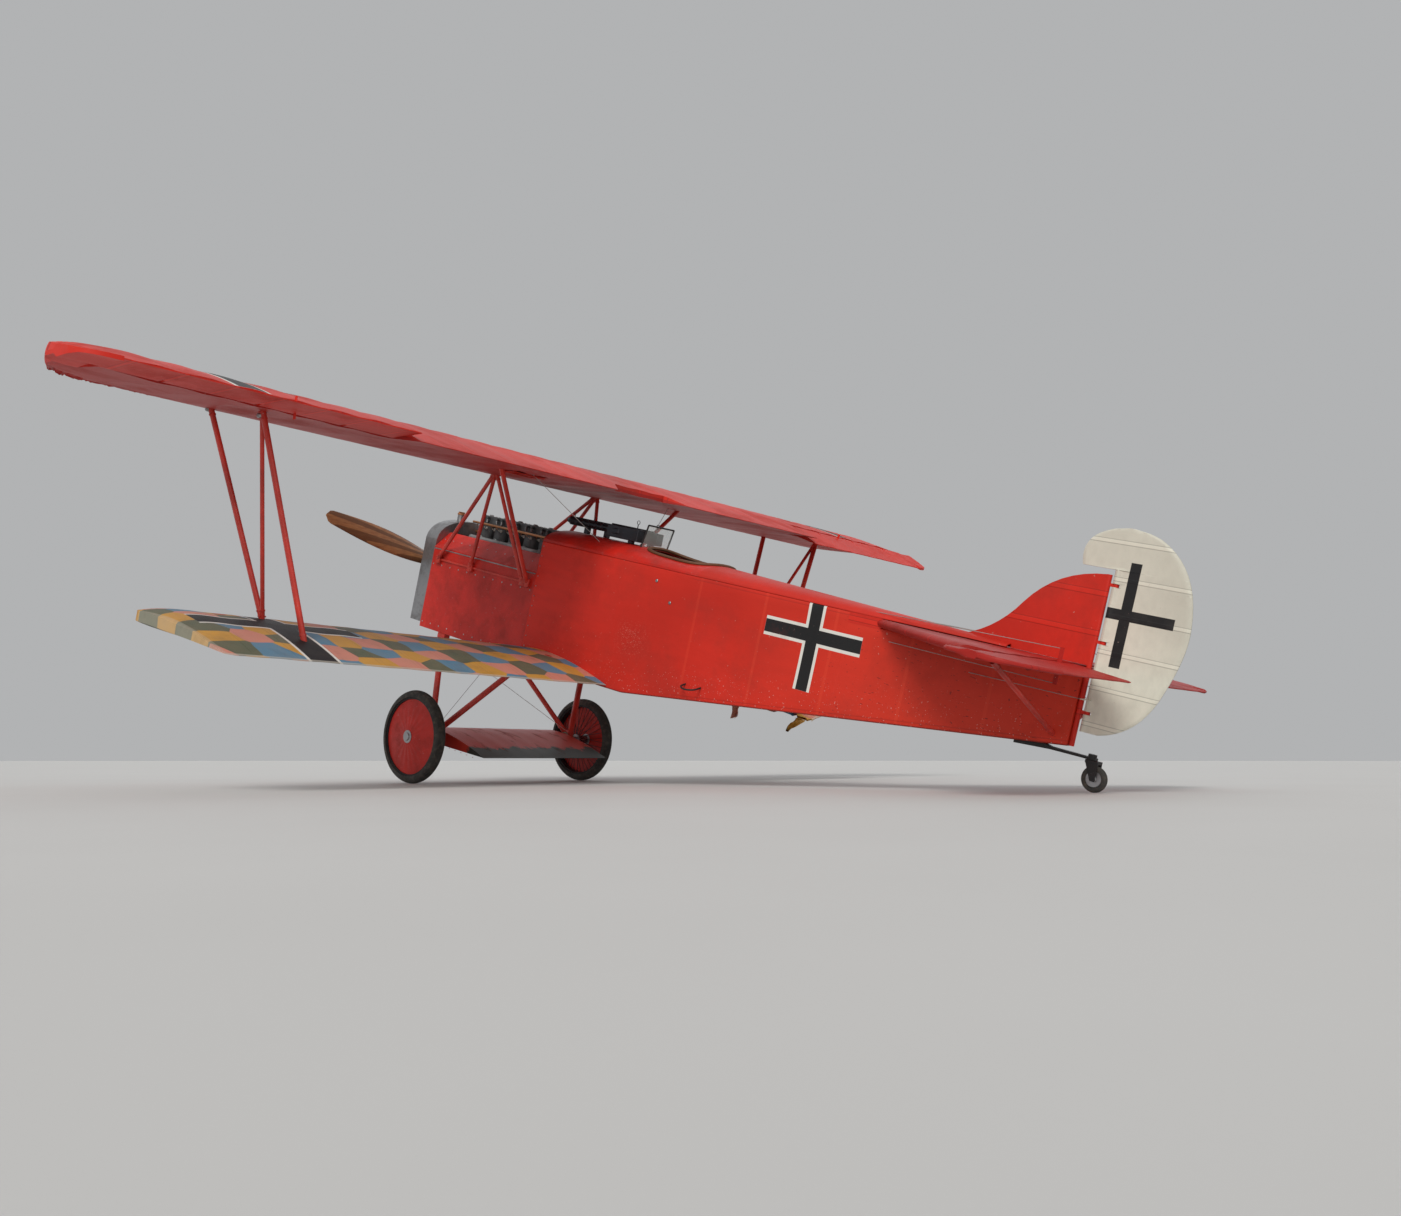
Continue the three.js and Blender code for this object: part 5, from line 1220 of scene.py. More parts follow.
def wheel_hub(side):
    """Hub: a barrel spun with two flanges, a domed nut outboard and a blind bore."""
    profile = [(0.0286, -0.075), (0.05, -0.075), (0.05, -0.066), (0.036, -0.06), (0.036, 0.05),
               (0.052, 0.056), (0.052, 0.066), (0.034, 0.068), (0.03, 0.077), (0.012, 0.078),
               (0, 0.078), (0, 0.033), (0.0286, 0.033)]
    return turned(profile, MAIN_HUB * [side, 1, 1], (side, 0, 0), 36)


def wheel_cover(side):
    """Cloth cone from the rim out to the hub, a few millimetres thick: a straight slope less a
    squared sine of the angle, so that it sinks between spokes."""
    turn = np.linspace(0, 2 * np.pi, 160, endpoint=False)
    r, a = np.meshgrid(np.linspace(0.307, 0.05, 14), turn, indexing="ij")
    inward = (0.307 - r) / 0.257
    out = 0.028 + 0.034 * inward - 0.0022 * np.sin(10 * a) ** 2 * np.sin(np.pi * inward)
    x, y, z = MAIN_HUB
    outer = np.stack([side * (x + out), y + r * np.cos(a), z + r * np.sin(a)], -1)
    return skin(np.concatenate([outer, (outer - [side * 0.004, 0, 0])[::-1]]), closed=True)


def tyre(side):
    """Tyre: a round section less ring grooves in the tread, spun, with a flat seat on the rim."""
    turn = np.linspace(-1, 1, 60) * math.acos(-0.155)
    groove = 0.0024 * (np.abs(((turn / 0.155) % 1) - 0.5) < 0.18) * (np.abs(turn) < 0.75)
    profile = np.stack([0.33 + (0.0498 - groove) * np.cos(turn), (0.0498 - groove) * np.sin(turn)], -1)
    return turned(profile, MAIN_HUB * [side, 1, 1], (side, 0, 0), 128, True)


def tail_tyre():
    """Tail wheel's tyre: a band with an elliptic tread, spun about x."""
    turn = np.linspace(-1.25, 1.25, 15)
    tread = np.stack([0.062 + 0.018 * np.cos(turn), 0.0195 * np.sin(turn)], -1)
    return turned([*tread, (0.05, 0.0185), (0.05, -0.0185)], TAIL_HUB, (1, 0, 0), 60, True)


def tail_hub():
    """Tail wheel's hub: a dished disc with a boss."""
    return [disc(TAIL_HUB, (1, 0, 0), 0.051, -0.016, 0.016, 40, 0.004),
            disc(TAIL_HUB, (1, 0, 0), 0.018, -0.0198, 0.0198, 24, 0.003)]


def blade(radius=1.35):
    """Propeller blade up z: an ellipse at each radius, its chord a sine of the radius, its thickness
    falling by a power, its pitch an arctangent, rounded off at the end by a square root."""
    r = np.linspace(0.03, radius, 44)
    s = r / radius
    chord = 0.09 + 0.15 * np.sin(np.pi * np.minimum(1, s * 0.95) ** 0.9) * (1 - 0.25 * s)
    chord = (chord * np.sqrt(np.clip((1.0 - s) / 0.03, 0.02, 1)))[:, None]
    thick = (0.078 * (1 - s) ** 1.1 + 0.012)[:, None]
    pitch = np.arctan2(0.32, s + 0.12)[:, None]
    turn = np.linspace(0, 2 * np.pi, 26, endpoint=False)
    u = 0.5 * chord * np.cos(turn)
    w = 0.5 * thick * np.sin(turn) * (0.85 + 0.15 * np.cos(turn))
    x, y = u * np.cos(pitch) - w * np.sin(pitch), u * np.sin(pitch) + w * np.cos(pitch)
    return skin(np.stack([x, y, np.broadcast_to(r[:, None], u.shape)], -1))


def spun(shapes):
    """Shapes about y, turned to the angle at which the propeller stands, and set on the nose."""
    c, s = math.cos(PROPELLER_TURN), math.sin(PROPELLER_TURN)
    turn = np.array([[c, 0, -s], [0, 1, 0], [s, 0, c]])
    return [moved(shape, lambda p: p @ turn + [0, PROPELLER_Y, THRUST]) for shape in shapes]


def propeller_blades():
    """Two blades, the second being the first turned half round, and their hub."""
    points, faces = blade()
    hub = disc((0, 0, 0), (0, 1, 0), 0.09, -0.066, 0.07, 40, 0.006)
    return spun([(points, faces), (points * [-1, 1, -1], faces), hub])


def propeller_plate():
    """Steel plate on the hub with eight bolt heads in a ring."""
    bolts = [disc((0.06 * math.cos(a), 0, 0.06 * math.sin(a)), (0, 1, 0), 0.008, -0.0838, -0.078, 6)
             for a in 2 * np.pi * np.arange(8) / 8]
    return spun([disc((0, 0, 0), (0, 1, 0), 0.078, -0.083, -0.066, 40, 0.003), *bolts])


def exhaust():
    """Exhaust: a collector that runs aft and bends outboard, open at its end, with a flanged stub
    from each cylinder and three bands."""
    x, z = EXHAUST_X, EXHAUST_Z
    path = np.concatenate([spread((x, 0.06, z), (x, 1.1, z), 6),
                           bend((x, 1.1, z), (-0.3, 1.24, z), (-0.4, 1.29, z), 10)[1:],
                           bend((-0.4, 1.29, z), (-0.436, 1.31, z), (-0.438, 1.4, z), 6)[1:],
                           [(-0.445, 1.648, z)]])
    mouth = [(0.034, -0.004), (0.034, 0.002), (0.028, 0.0015), (0.026, -0.06), (0, -0.06), (0.0, -0.004)]
    parts = [tube(path, 0.0355, 24), turned(mouth, (-0.445, 1.649, z), (0, 1, 0), 24)]
    for y in CYLINDERS:
        parts += [rod((-0.07, y, z), (-0.25, y, z), 0.0215, 18, None, 4),
                  disc((-0.0785, y, z), (-1, 0, 0), 0.036, 0, 0.01, 20, 0.002),
                  disc((-0.2, y, z), (-1, 0, 0), 0.027, 0, 0.02, 18, 0.003)]
    return parts + [disc((x, y, z), (0, 1, 0), 0.0385, 0, 0.016, 24, 0.002) for y in (0.28, 0.69, 1.05)]


def intake():
    """Intake: one pipe with a branch to each cylinder, two curved risers and a carburettor with its
    float bowls."""
    x, z = INTAKE_X, INTAKE_Z
    parts = [rod((x, 0.12, z), (x, 1.205, z), 0.024, 20, None, 4)]
    for y in CYLINDERS:
        parts += [rod((0.07, y, z), (x, y, z), 0.019, 16),
                  disc((0.0785, y, z), (1, 0, 0), 0.032, 0, 0.009, 18, 0.002)]
    parts += [tube(bend((0.158, 0.665, 0.62), (0.158, halfway, 0.8), (x, y, z), 10), 0.021, 16)
              for halfway, y in ((0.6, 0.43), (0.73, 0.9))]
    parts.append(block((0.112, 0.603, 0.502), (0.198, 0.727, 0.638), 0.01))
    return parts + [disc((0.155, y, 0.52), (0, 0, 1), 0.03, 0, 0.085, 24, 0.006) for y in (0.585, 0.745)]


def valve_springs():
    """A spring over each valve, on both sides."""
    return [coil((side * 0.065, y + e, 1.041), 0.028, 0.0135, 4, 0.0022)
            for y in CYLINDERS for e in (-0.036, 0.036) for side in (1, -1)]


def housing_nuts():
    """Two rows of nuts along the camshaft housing, and a cap over each cylinder."""
    nuts = [head for x in (0.036, -0.036)
            for head in studs((x, 0.11, HOUSING_TOP), (x, 1.215, HOUSING_TOP), 22, (0, 0, 1), 0.006, 0.006, 6)]
    return nuts + [disc((0, y, HOUSING_TOP), (0, 0, 1), 0.02, -0.002, 0.012, 18, 0.003) for y in CYLINDERS]


def plug_feet(side):
    """Each cylinder's y with the feet of its two plugs on one side."""
    return [(y, np.array([side * 0.062, y + e, 0.985])) for y in CYLINDERS for e in (-0.045, 0.045)]


def spark_plugs():
    """Plugs: a stepped profile spun about an axis that leans up a little."""
    profile = [(0.012, 0), (0.012, 0.012), (0.007, 0.014), (0.006, 0.034), (0.003, 0.036), (0, 0.04)]
    return [turned(profile, foot, (side, 0, 0.15), 8) for side in (1, -1) for _, foot in plug_feet(side)]


def ignition_leads():
    """Leads: a parabola from each plug to the lead tube of its side."""
    leads = []
    for side in (1, -1):
        x, z = side * 0.112, 1.02
        for y, foot in plug_feet(side):
            path = bend(foot + [side * 0.038, 0, 0.005], foot + [side * 0.06, 0, 0.02], (x, y, z), 6)
            leads.append(tube(path, 0.0028, 6))
        leads.append(rod((x, 0.05, z), (x, 1.26, z), 0.011, 12))
    return leads


def water_pipes():
    """Water pipe along the heads from the radiator's top tank, and the return pipe low to starboard."""
    top = np.concatenate([bend((-0.06, -0.09, 0.93), (-0.06, 0.02, 0.93), (-0.07, 0.08, 1.0), 8),
                          [(-0.07, 0.2, 1.055), (-0.07, 1.22, 1.055)]])
    low = np.concatenate([[(-0.2, -0.09, 0.16)],
                          bend((-0.2, 0.05, 0.16), (-0.2, 0.3, 0.2), (-0.19, 0.5, 0.33), 8)])
    collar = disc((-0.2, -0.07, 0.16), (0, 1, 0), 0.03, 0, 0.03, 18, 0.003)
    return [tube(top, 0.016, 14), tube(low, 0.024, 14), collar]


def radiator_core():
    """Radiator core: a thin plate with the shell's outline, straight sides under a curved top."""
    half = np.array([(0.34, 0.07), (0.34, 0.8), *bend((0.34, 0.8), (0.31, 0.955), (0, 0.975), 10)[1:-1],
                     (0, 0.975)])
    outline = np.concatenate([half, (half * [-1, 1])[::-1][1:]])
    return skin([[(x, y, z) for x, z in outline] for y in (-0.2225, -0.221)])


def filler_cap():
    """Filler cap: a disc with a bar across it."""
    return [disc((0.09, -0.17, 1.05), (0, 0, 1), 0.037, 0, 0.016, 28, 0.003),
            block((0.055, -0.176, 1.064), (0.125, -0.164, 1.08), 0.003)]


def gun(side):
    """Fixed gun: a jacket whose radius drops in the slots of a regular grid, muzzle cone, receiver
    with cover, lever, sights and feet."""
    x, z = side * GUN_X, GUN_Z
    round_it = np.linspace(0, 2 * np.pi, 72, endpoint=False)
    a, y = np.meshgrid(round_it, np.linspace(1.332, 1.806, 120), indexing="ij")
    along = (y - 1.345) / 0.075
    across = np.abs((a / (np.pi / 6)) % 1 - 0.5)
    slot = (across < 0.2) & (np.abs(along % 1 - 0.5) < 0.36) & (along > 0) & (along < 6)
    r = np.where(slot, 0.029, 0.036)
    jacket = skin(np.stack([x + r * np.cos(a), y, z + r * np.sin(a)], -1).swapaxes(0, 1))
    cone = [(0.036, 0.04), (0.027, 0.03), (0.02, 0.0), (0.01, 0.0), (0.009, 0.03), (0, 0.03)]
    ring = [(0.014, -0.002), (0.017, -0.002), (0.017, 0.002), (0.014, 0.002)]
    receiver = [block((x - 0.038, 1.8, 1.15), (x + 0.038, 2.15, 1.25), 0.004),
                block((x - 0.03, 1.83, 1.25), (x + 0.03, 2.06, 1.261), 0.004),
                block((x - 0.045, 1.86, 1.18), (x + 0.045, 1.94, 1.225), 0.006)]
    lever = [rod((x - 0.04, 2.02, 1.19), (x - 0.056, 2.02, 1.19), 0.012, 12),
             rod((x - 0.052, 2.02, 1.19), (x - 0.052, 1.96, 1.225), 0.006, 8)]
    sights = [rod((x, 2.1, 1.25), (x, 2.1, 1.29), 0.004, 8), turned(ring, (x, 2.1, 1.305), (0, 1, 0), 20, True),
              rod((x, 1.36, 1.25), (x, 1.36, 1.285), 0.003, 6)]
    feet = [block((x - 0.022, y - 0.02, deck_height(abs(x) + 0.022, y) + 0.007),
                  (x + 0.022, y + 0.02, 1.19), 0.003) for y in (1.54, 2.06)]
    return [jacket, turned(cone, (x, 1.292, z), (0, 1, 0), 28), *receiver, *lever, *sights, *feet]


DIALS = [
    # x, z, radius
    (-0.15, 0.905, 0.042), (0.0, 0.9, 0.05), (0.15, 0.905, 0.042), (-0.09, 0.79, 0.03), (0.09, 0.79, 0.03)]
PANEL = 2.2643


def dial_faces():
    """A short disc for each dial."""
    return [disc((x, PANEL, z), (0, 1, 0), r * 0.9, -0.004, 0.005, 32) for x, z, r in DIALS]


def cockpit_brass():
    """Rims and needles of the dials, four switches and the throttle with its lever and knob."""
    parts = []
    for x, z, r in DIALS:
        profile = [(r * 0.88, 0), (r, 0), (r, 0.01), (r * 0.94, 0.014), (r * 0.88, 0.01)]
        parts.append(turned(profile, (x, PANEL - 0.002, z), (0, 1, 0), 36, True))
    needle = PANEL + 0.008
    parts += [rod((x, needle, z), (x + r * 0.6, needle, z + r * 0.35), 0.0016, 6) for x, z, r in DIALS]
    parts += [disc((x, PANEL, 0.76), (0, 1, 0), 0.009, -0.002, 0.02, 14, 0.002)
              for x in (-0.03, 0.0, 0.03, 0.2)]
    knob = (0.292, 2.46, 0.7)
    return parts + [block((0.285, 2.44, 0.56), (0.315, 2.62, 0.6), 0.003),
                    rod((0.292, 2.5, 0.58), knob, 0.006, 10),
                    disc(knob, (1, 0, 0), 0.016, -0.01, 0.01, 16, 0.005)]


def cockpit_frame():
    """Steel tube frame along the cockpit's sides: three rails, two slanted tubes and an upright a side."""
    def place(y, z):
        """A point just inside the fuselage's wall."""
        return float(half_width(y)) - WALL - 0.012, y, z

    rails = [rod(place(2.3, z), place(2.99, z), 0.0105, 12) for z in (0.15, 0.52, 0.93)]
    slanted = [rod(place(2.31, 0.16), place(2.64, 0.92), 0.008, 10),
               rod(place(2.66, 0.92), place(2.98, 0.16), 0.008, 10)]
    return paired([*rails, *slanted, rod(place(2.65, 0.15), place(2.65, 0.93), 0.0095, 12)])


def floor_boards():
    """Five narrow boards side by side on the cockpit's floor, with gaps between them."""
    return [block((x, 2.262, WELL_FLOOR + 0.0005), (x + 0.098, 2.988, WELL_FLOOR + 0.013), 0.003)
            for x in np.arange(5) * 0.104 - 0.257]


def belts():
    """Seat straps: a flat band along three parabolas, down the seat's back and onto its pan."""
    bands = []
    for x in (0.09, -0.09):
        shoulder, lap = (x, 2.882, 0.8), (x * 1.3, 2.84, 0.47)
        path = np.concatenate([bend((x, 2.93, 0.70), (x, 2.93, 0.83), shoulder, 8),
                               bend(shoulder, (x * 1.1, 2.87, 0.6), lap, 10)[1:],
                               bend(lap, (x * 1.4, 2.8, 0.417), (x * 1.5, 2.66, 0.414), 8)[1:]])
        grid = np.stack([path + [w, 0, 0] for w in np.linspace(-0.022, 0.022, 5)], 1)
        bands.append(sheeted(grid, 0.003))
    return bands


HEAD_ROWS = [
    # start, end, count, axis, radius
    ((0.375, -0.06, 0.05), (0.375, 1.28, 0.05), 12, (1, 0, 0), 0.007),
    ((0.375, -0.06, 0.58), (0.375, 1.28, 0.58), 12, (1, 0, 0), 0.007),
    ((0.376, 1.345, 0.04), (0.376, 1.345, 0.96), 12, (1, 0, 0), 0.005),
    ((0.33, 0.3, 0), (0.33, 0.92, 0), 7, (0, 0, -1), 0.007),
    ((0.30, -0.06, 0.812), (0.30, 1.28, 0.812), 12, (0.75, 0, 0.66), 0.006)]


def panel_heads():
    """Rows of small heads along the cowls and the chin, the hinge rod on each cowl's upper edge, and
    two larger heads beside the cockpit to port."""
    rows = [head for row in HEAD_ROWS for head in studs(*row)]
    hinge = rod((0.376, -0.08, 0.7195), (0.376, 1.31, 0.7195), 0.005, 8)
    larger = [disc((half_width(y), y, z), (1, 0, 0), 0.013, -0.004, 0.005, 14, 0.003)
              for y, z in ((2.79, 0.76), (2.63, 0.9))]
    return paired([*rows, hinge]) + larger


def hatch_rim():
    """Raised rim round the open hatch: four rods just under the wing's lower skin."""
    (x0, x1), (y0, y1) = HATCH_X, HATCH_Y

    def corner(x, y):
        """A point under the lower skin: the section's middle less its half thickness."""
        mean, half, _ = wing_heights(np.array(y), **UPPER)
        return x, y, float(mean - half) - 0.003

    bars = [((x0, y0), (x1, y0)), ((x0, y1), (x1, y1)), ((x0, y0), (x0, y1)), ((x1, y0), (x1, y1))]
    return [rod(corner(*a), corner(*b), 0.005, 6) for a, b in bars]


def fixed_cables():
    """Taut cables that don't move with a surface: fuselage to the upper wing, and the crossed wires
    in the gear, each with a turnbuckle near its upper end."""
    wing = [((0.26, 1.86, 1.09), (0.84, 1.49, 1.54)), ((-0.26, 1.86, 1.09), (-0.84, 1.49, 1.484))]
    crossed = [((0.35, 0.26, -0.05), (-0.745, 0.88, -0.70)), ((-0.35, 0.26, -0.05), (0.745, 0.88, -0.72))]
    buckles = [(np.add(a, np.subtract(b, a) * 0.12), np.add(a, np.subtract(b, a) * 0.17)) for a, b in crossed]
    rows = [(wing, 0.0022, 6), (crossed, 0.002, 6), (buckles, 0.006, 8)]
    return [rod(a, b, radius, sides) for ends, radius, sides in rows for a, b in ends]


def windscreen_frame():
    """Three thin rods round the pane's edge."""
    corners = [(0.15, 2.209, 1.112), (0.15, 2.249, 1.3), (-0.15, 2.249, 1.3), (-0.15, 2.209, 1.112)]
    return [rod(a, b, 0.007, 8) for a, b in zip(corners, corners[1:])]


# Finishes
WORN_GREY = (0.34, 0.32, 0.30)
WORN_SURFACES = [
    # name, colour, metallic, roughness, tone it wears to, wear, grime, coat
    ("red_panel_paint", (0.56, 0.018, 0.010), 0.0, 0.36, WORN_GREY, 0.35, 0.35, 0.08),
    ("chin_panel_paint", (0.30, 0.012, 0.009), 0.0, 0.4, WORN_GREY, 0.3, 0.6, 0.0),
    ("strut_paint", (0.60, 0.045, 0.03), 0.0, 0.33, WORN_GREY, 0.6, 0.3, 0.15),
    ("bare_steel", (0.42, 0.42, 0.43), 1.0, 0.3, WORN_GREY, 0.2, 0.5, 0.0),
    ("radiator_shell", (0.30, 0.30, 0.31), 0.8, 0.34, WORN_GREY, 0.3, 0.6, 0.0),
    ("jacket_paint", (0.10, 0.105, 0.11), 0.5, 0.4, WORN_GREY, 0.6, 0.6, 0.0),
    ("exhaust_rust", (0.16, 0.085, 0.05), 0.5, 0.6, (0.3, 0.16, 0.08), 0.8, 0.4, 0.0),
    ("copper_pipe", (0.52, 0.24, 0.12), 1.0, 0.35, (0.7, 0.4, 0.2), 0.6, 0.5, 0.0),
    ("cast_aluminium", (0.36, 0.36, 0.36), 0.9, 0.45, WORN_GREY, 0.6, 0.55, 0.0),
    ("black_paint", (0.02, 0.02, 0.021), 0.0, 0.4, WORN_GREY, 0.4, 0.5, 0.0),
    ("blued_steel", (0.045, 0.047, 0.055), 0.85, 0.3, (0.35, 0.35, 0.36), 0.3, 0.3, 0.0),
    ("pale_cable", (0.45, 0.44, 0.42), 0.8, 0.4, WORN_GREY, 0.1, 0.2, 0.0),
    ("bound_cord", (0.33, 0.27, 0.2), 0.0, 0.8, WORN_GREY, 0.1, 0.5, 0.0),
    ("canvas_strap", (0.36, 0.30, 0.2), 0.0, 0.85, WORN_GREY, 0.1, 0.3, 0.0),
    ("brown_leather", (0.13, 0.055, 0.025), 0.0, 0.45, (0.3, 0.17, 0.09), 0.5, 0.3, 0.0),
    ("plug_ceramic", (0.62, 0.6, 0.55), 0.0, 0.25, WORN_GREY, 0.0, 0.3, 0.0)]
FINISHES = {material.name: material for material in (
    cloth("red_wing_cloth", RED, RIB_PITCH, marks=upper_marks),
    # Aileron cloth: the wing's red made brighter, as painted sunlight
    cloth("sunlit_aileron_cloth", shade(RED, 1.1), RIB_PITCH),
    # Tail cloth: the wing's red made darker, as painted shade of the tail's underside
    cloth("red_tail_cloth", DEEP_RED, TAIL_RIB_PITCH, marks=tail_marks),
    cloth("red_fuselage_cloth", RED, along=1, marks=fuselage_marks),
    cloth("red_fin_cloth", RED, 0.24, along=2),
    cloth("cream_rudder_cloth", CREAM, RUDDER_RIB_PITCH, 2, grime=0.12, rib=0.01, marks=rudder_marks),
    printed_cloth("printed_wing_cloth", lower_marks),
    printed_cloth("printed_tip_cloth", tip_marks, TIP_TILT, tuple(TIP_ORIGIN)),
    *(worn_surface(*row) for row in WORN_SURFACES), rubber(),
    grained_wood("splintered_spruce", (0.72, 0.52, 0.33), (0.52, 0.29, 0.16), gloss=0.6, coat=0.0),
    grained_wood("varnished_board", (0.36, 0.17, 0.07), (0.2, 0.085, 0.032)),
    grained_wood("laminated_walnut", (0.40, 0.18, 0.07), (0.24, 0.09, 0.035), layers=0.02),
    axle_wing_paint(), core_brass(), dial_face(), clear_pane())}

# Pieces: name, body, shapes, finish, slot, node it replaces
AIR = "airframe"
put("upper_wing_cloth", AIR, upper_wing(), "red_wing_cloth", "red_fabric", "upper_wing")
for side, name in SIDES:
    [flap] = handed([aileron()], side)
    flap = hinged(flap, AILERON["hinge"], AILERON["z"], side * AILERON["rest"])
    put(f"aileron_cloth_{name}", f"aileron_{name}", flap, "sunlit_aileron_cloth", "red_fabric", f"aileron_{name}")
for part, shapes, finish, node in [
        ("left", lower_wing_left(), "printed_wing_cloth", "lower_wing_left"),
        ("right", lower_wing_right(), "printed_wing_cloth", "lower_wing_right"),
        ("tip", lower_tip(), "printed_tip_cloth", "lower_wing_right_tip")]:
    put(f"lower_wing_cloth_{part}", AIR, shapes, finish, "lozenge_fabric", node)
SKINS = [
    ("broken_spars_and_ribs", AIR, broken_wood(), "splintered_spruce", "bare_wood"),
    ("tailplane_cloth", AIR, tailplane(), "red_tail_cloth", "red_fabric", "tailplane"),
    ("tail_root_fillet", AIR, root_fillet(), "red_fin_cloth", "red_fabric"),
    ("elevator_cloth", "elevator", elevator(), "red_tail_cloth", "red_fabric", "elevator"),
    ("rudder_cloth", "rudder", rudder(), "cream_rudder_cloth", "cream_fabric", "rudder"),
    ("fuselage_cloth", AIR, fuselage(), "red_fuselage_cloth", "red_fabric", "fuselage")]
for row in SKINS:
    put(*row)
rim_pad = put("cockpit_rim_pad", AIR, cockpit_rim(), "brown_leather", "leather", "cockpit_rim")
for side, name in SIDES:
    put(f"interplane_tubes_{name}", AIR, bay(side), "strut_paint", "strut", f"interplane_strut_{name}")
put("strut_end_fittings", AIR, strut_knobs(), "bare_steel", "strut")

SIDE_PIECES = [
    # name, body, shapes of a side, finish, slot, node it replaces; the side's name follows each
    ("cabane_tubes", AIR, cabane, "strut_paint", "strut", "cabane"),
    ("gear_legs", AIR, gear, "strut_paint", "strut", "gear_vee"),
    ("axle_cord", AIR, bound_cord, "bound_cord", "strut", None),
    ("tail_tube", AIR, tail_strut, "strut_paint", "strut", "tail_strut"),
    ("wheel_frame", "wheel", wheel_frame, "black_paint", "wheel_cover", "wheel"),
    ("wheel_hub", "wheel", wheel_hub, "bare_steel", "wheel_cover", None),
    ("wheel_cone", "wheel", wheel_cover, "red_panel_paint", "wheel_cover", None),
    ("tyre_tread", "wheel", tyre, "old_rubber", "tyre", "tyre"),
    ("gun_steelwork", AIR, gun, "blued_steel", "gun_metal", "gun")]
for side, name in SIDES:
    for piece, body, shapes, finish, slot, node in SIDE_PIECES:
        body = f"wheel_{name}" if body == "wheel" else body
        put(f"{piece}_{name}", body, shapes(side), finish, slot, *([f"{node}_{name}"] if node else []))

FITTINGS = [
    ("axle_wing_skin", AIR, axle_wing(), "axle_wing_red", "red_wood", "axle_wing"),
    ("axle_tube", AIR, axle_tube(), "bare_steel", "red_wood"),
    ("tail_wheel_tyre", "tail_wheel", tail_tyre(), "old_rubber", "tail_tyre", "tail_wheel"),
    ("tail_wheel_hub", "tail_wheel", tail_hub(), "bare_steel", "tail_tyre"),
    ("propeller_blades", "propeller", propeller_blades(), "laminated_walnut", "propeller_wood", "propeller"),
    ("propeller_plate", "propeller", propeller_plate(), "bare_steel", "propeller_wood"),
    ("exhaust_pipes", AIR, exhaust(), "exhaust_rust", "exhaust", "exhaust"),
    ("intake_pipes", AIR, intake(), "cast_aluminium", "engine", "intake"),
    ("valve_springs", AIR, valve_springs(), "bare_steel", "engine"),
    ("housing_nuts", AIR, housing_nuts(), "cast_aluminium", "engine"),
    ("spark_plugs", AIR, spark_plugs(), "plug_ceramic", "engine"),
    ("ignition_leads", AIR, ignition_leads(), "copper_pipe", "engine"),
    ("water_pipes", AIR, water_pipes(), "copper_pipe", "engine"),
    ("radiator_core", AIR, radiator_core(), "core_brass", "radiator"),
    ("filler_cap", AIR, filler_cap(), "copper_pipe", "radiator"),
    ("dial_faces", AIR, dial_faces(), "dial_face", "bare_wood"),
    ("cockpit_brass", AIR, cockpit_brass(), "copper_pipe", "bare_wood"),
    ("cockpit_tubes", AIR, cockpit_frame(), "jacket_paint", "black_steel"),
    ("cockpit_boards", AIR, floor_boards(), "varnished_board", "bare_wood"),
    ("seat_straps", AIR, belts(), "canvas_strap", "seat_metal"),
    ("panel_heads", AIR, panel_heads(), "bare_steel", "red_panel"),
    ("hatch_rim", AIR, hatch_rim(), "strut_paint", "red_panel"),
    ("control_cables", AIR, fixed_cables(), "pale_cable", "strut")]
for row in FITTINGS:
    put(*row)

BLENDED_LENGTH = 0.15
CABLES = [
    # name, moving body, start, end
    ("elevator_cable_upper", "elevator", (0.13, 4.45, 1.035), (0.3, 5.86, 1.072)),
    ("elevator_cable_lower", "elevator", (0.13, 4.45, 0.86), (0.3, 5.86, 0.864)),
    ("rudder_cable", "rudder", (0.1, 5.2, 0.79), (0.125, RUDDER_HINGE, 0.801))]
for name, body, *ends in CABLES:
    for side, suffix in SIDES:
        start, end = (np.array(point) * [side, 1, 1] for point in ends)
        knee = end + BLENDED_LENGTH * unit(start - end)
        path = np.concatenate([spread(start, knee, 3), spread(knee, end, 9)[1:]])
        wire = put(f"{name}_{suffix}", None, tube(path, 0.0022, 6), "pale_cable", "strut")
        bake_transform(wire)

WORN_NODES = [
    # node, body, finish, slot, corner width
    ("fore_decking", AIR, "red_panel_paint", "red_panel", 0.002),
    ("turtle_decking", AIR, "red_fin_cloth", "red_fabric", 0.002),
    ("fin", AIR, "red_fin_cloth", "red_fabric", 0.006),
    ("cowl_side_left", AIR, "red_panel_paint", "red_panel", 0.002),
    ("cowl_side_right", AIR, "red_panel_paint", "red_panel", 0.002),
    ("cowl_shoulder_left", AIR, "red_panel_paint", "red_panel", 0.002),
    ("cowl_shoulder_right", AIR, "red_panel_paint", "red_panel", 0.002),
    ("chin_panel", AIR, "chin_panel_paint", "red_panel", 0.002),
    ("radiator", AIR, "radiator_shell", "radiator", 0.002),
    ("engine_block", AIR, "cast_aluminium", "engine", 0.005),
    ("cylinder_row", AIR, "jacket_paint", "engine", 0.002),
    ("tail_spring", AIR, "black_paint", "black_steel", 0.002),
    ("tail_fork", "tail_fork", "black_paint", "black_steel", 0.002),
    ("seat", AIR, "bare_steel", "seat_metal", 0.003),
    ("control_stick", AIR, "black_paint", "black_steel", 0.002),
    ("rudder_bar", AIR, "varnished_board", "bare_wood", 0.003),
    ("instrument_panel", AIR, "varnished_board", "bare_wood", 0.002),
    ("foot_step", AIR, "black_paint", "black_steel", None),
    ("lift_loop", AIR, "black_paint", "black_steel", None),
    ("windscreen", AIR, "clear_pane", "glass", 0.001)]
for row in WORN_NODES:
    softened(*row)
put("windscreen_frame", AIR, windscreen_frame(), "black_paint", "black_steel")

# Floor, light and camera
FLOOR_RADIUS = 120


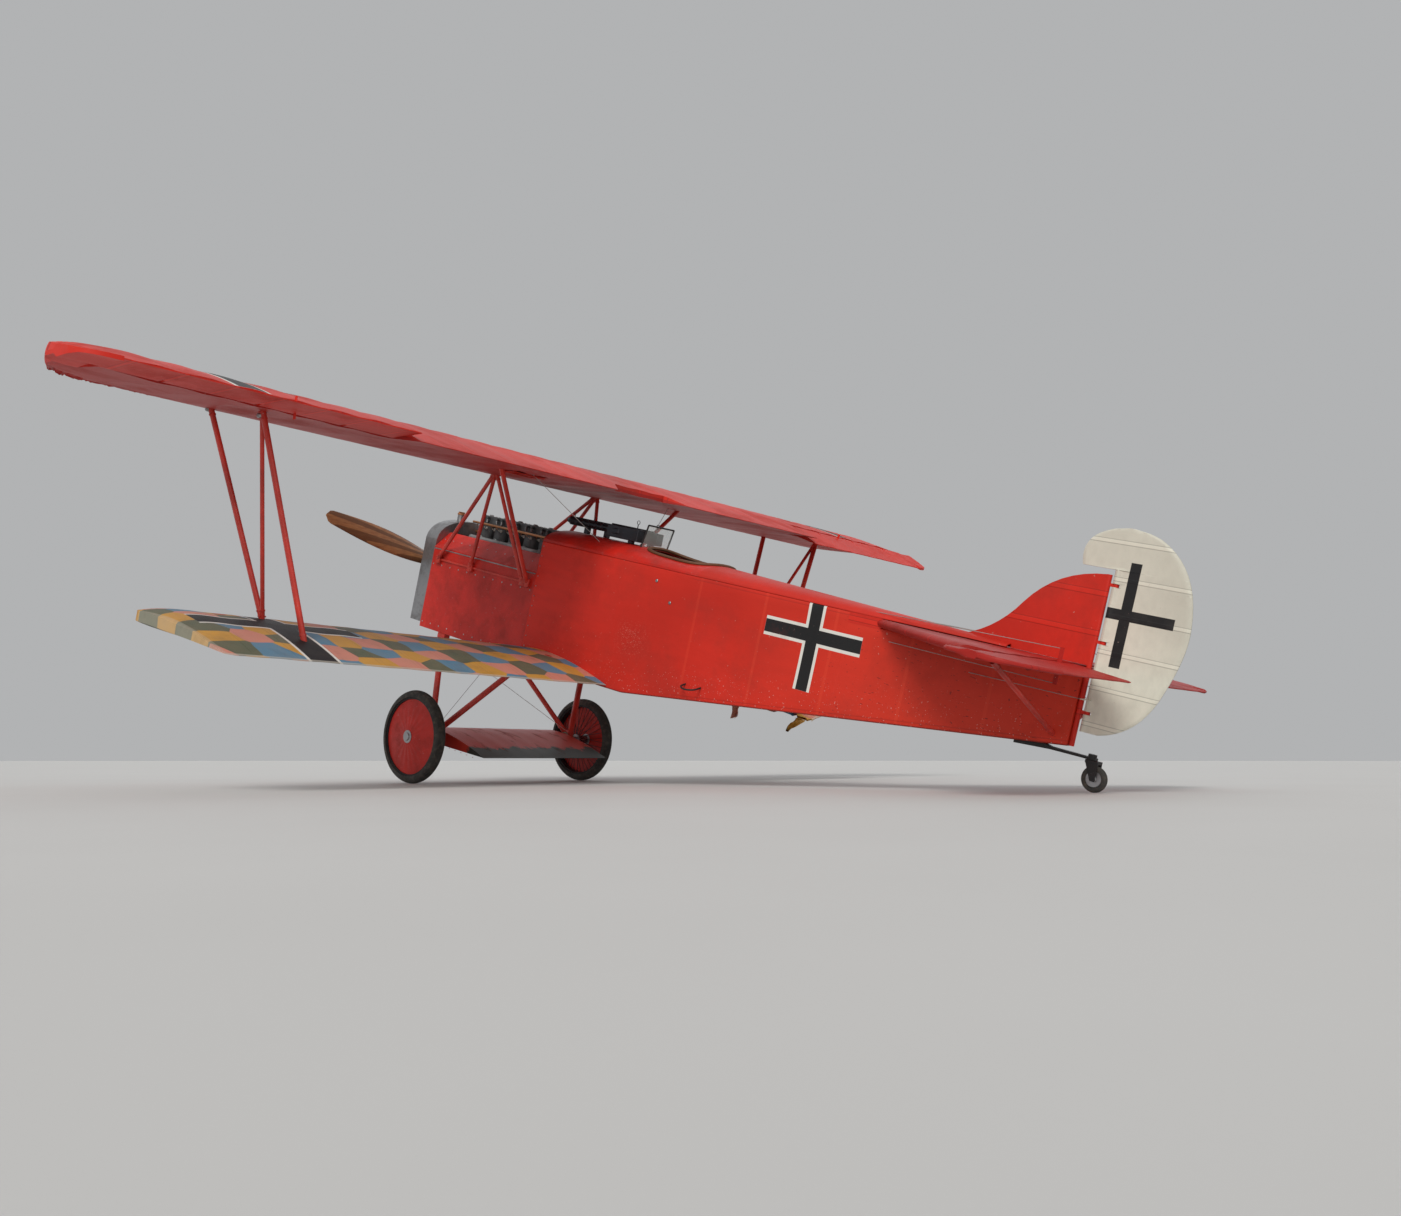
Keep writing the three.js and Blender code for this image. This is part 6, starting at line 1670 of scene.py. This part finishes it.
def stage_floor():
    """Pale round floor, cosine and sine of the turn, wide enough to reach the horizon of every view."""
    paint = Paint("pale_floor")
    tone = paint.noise(paint.node("ShaderNodeTexCoord", {}, out=3), 0.6, detail=3.0)
    material = paint.done(paint.mix(tone, (0.55, 0.545, 0.535), (0.59, 0.585, 0.575)), 0.75)
    turn = np.linspace(0, 2 * np.pi, 64, endpoint=False)
    points = FLOOR_RADIUS * np.stack([np.cos(turn), np.sin(turn), 0 * turn], -1)
    mesh = bpy.data.meshes.new("floor")
    mesh.from_pydata(points.tolist(), [], [list(range(64))])
    mesh.materials.append(material)
    floor = bpy.data.objects.new("floor", mesh)
    bpy.context.scene.collection.objects.link(floor)


def aimed(name, data, place, target):
    """A light or camera at a place, its view axis turned onto the target."""
    holder = bpy.data.objects.new(name, data)
    holder.location = place
    holder.rotation_euler = (Vector(target) - Vector(place)).to_track_quat("-Z", "Y").to_euler()
    bpy.context.scene.collection.objects.link(holder)
    return holder


SUNS = [
    # name, place, angle, power, colour
    ("key", (9, 4, 10), 0.4, 1.5, (1.0, 0.97, 0.93)),
    ("side", (10, 6, 4), 0.9, 0.7, (1.0, 0.98, 0.95)),
    ("fill", (-9, -8, 7), 1.2, 0.45, (0.94, 0.97, 1.0))]


def lights():
    """Three wide suns and an even pale sky."""
    for name, place, angle, power, colour in SUNS:
        sun = bpy.data.lights.new(name, "SUN")
        sun.angle, sun.energy, sun.color = angle, power, colour
        aimed(name, sun, place, (0, 0, 1))
    world = bpy.data.worlds.new("studio")
    world.use_nodes = True
    sky = world.node_tree.nodes["Background"].inputs
    sky["Color"].default_value, sky["Strength"].default_value = (0.74, 0.75, 0.76, 1), 0.6
    bpy.context.scene.world = world
    bpy.context.scene.view_settings.view_transform = "Standard"


def camera():
    """Floor-level camera on the photograph's bearing, port and aft of the aircraft."""
    data = bpy.data.cameras.new("camera")
    data.sensor_width, data.lens, data.clip_end = 36, 31, 400
    azimuth, distance, height, aim = math.radians(130), 9.2, 0.2, (0.0, -0.2, 1.35)
    place = (aim[0] + math.sin(azimuth) * distance, aim[1] - math.cos(azimuth) * distance, height)
    bpy.context.scene.camera = aimed("camera", data, place, aim)


stage_floor()
lights()
camera()
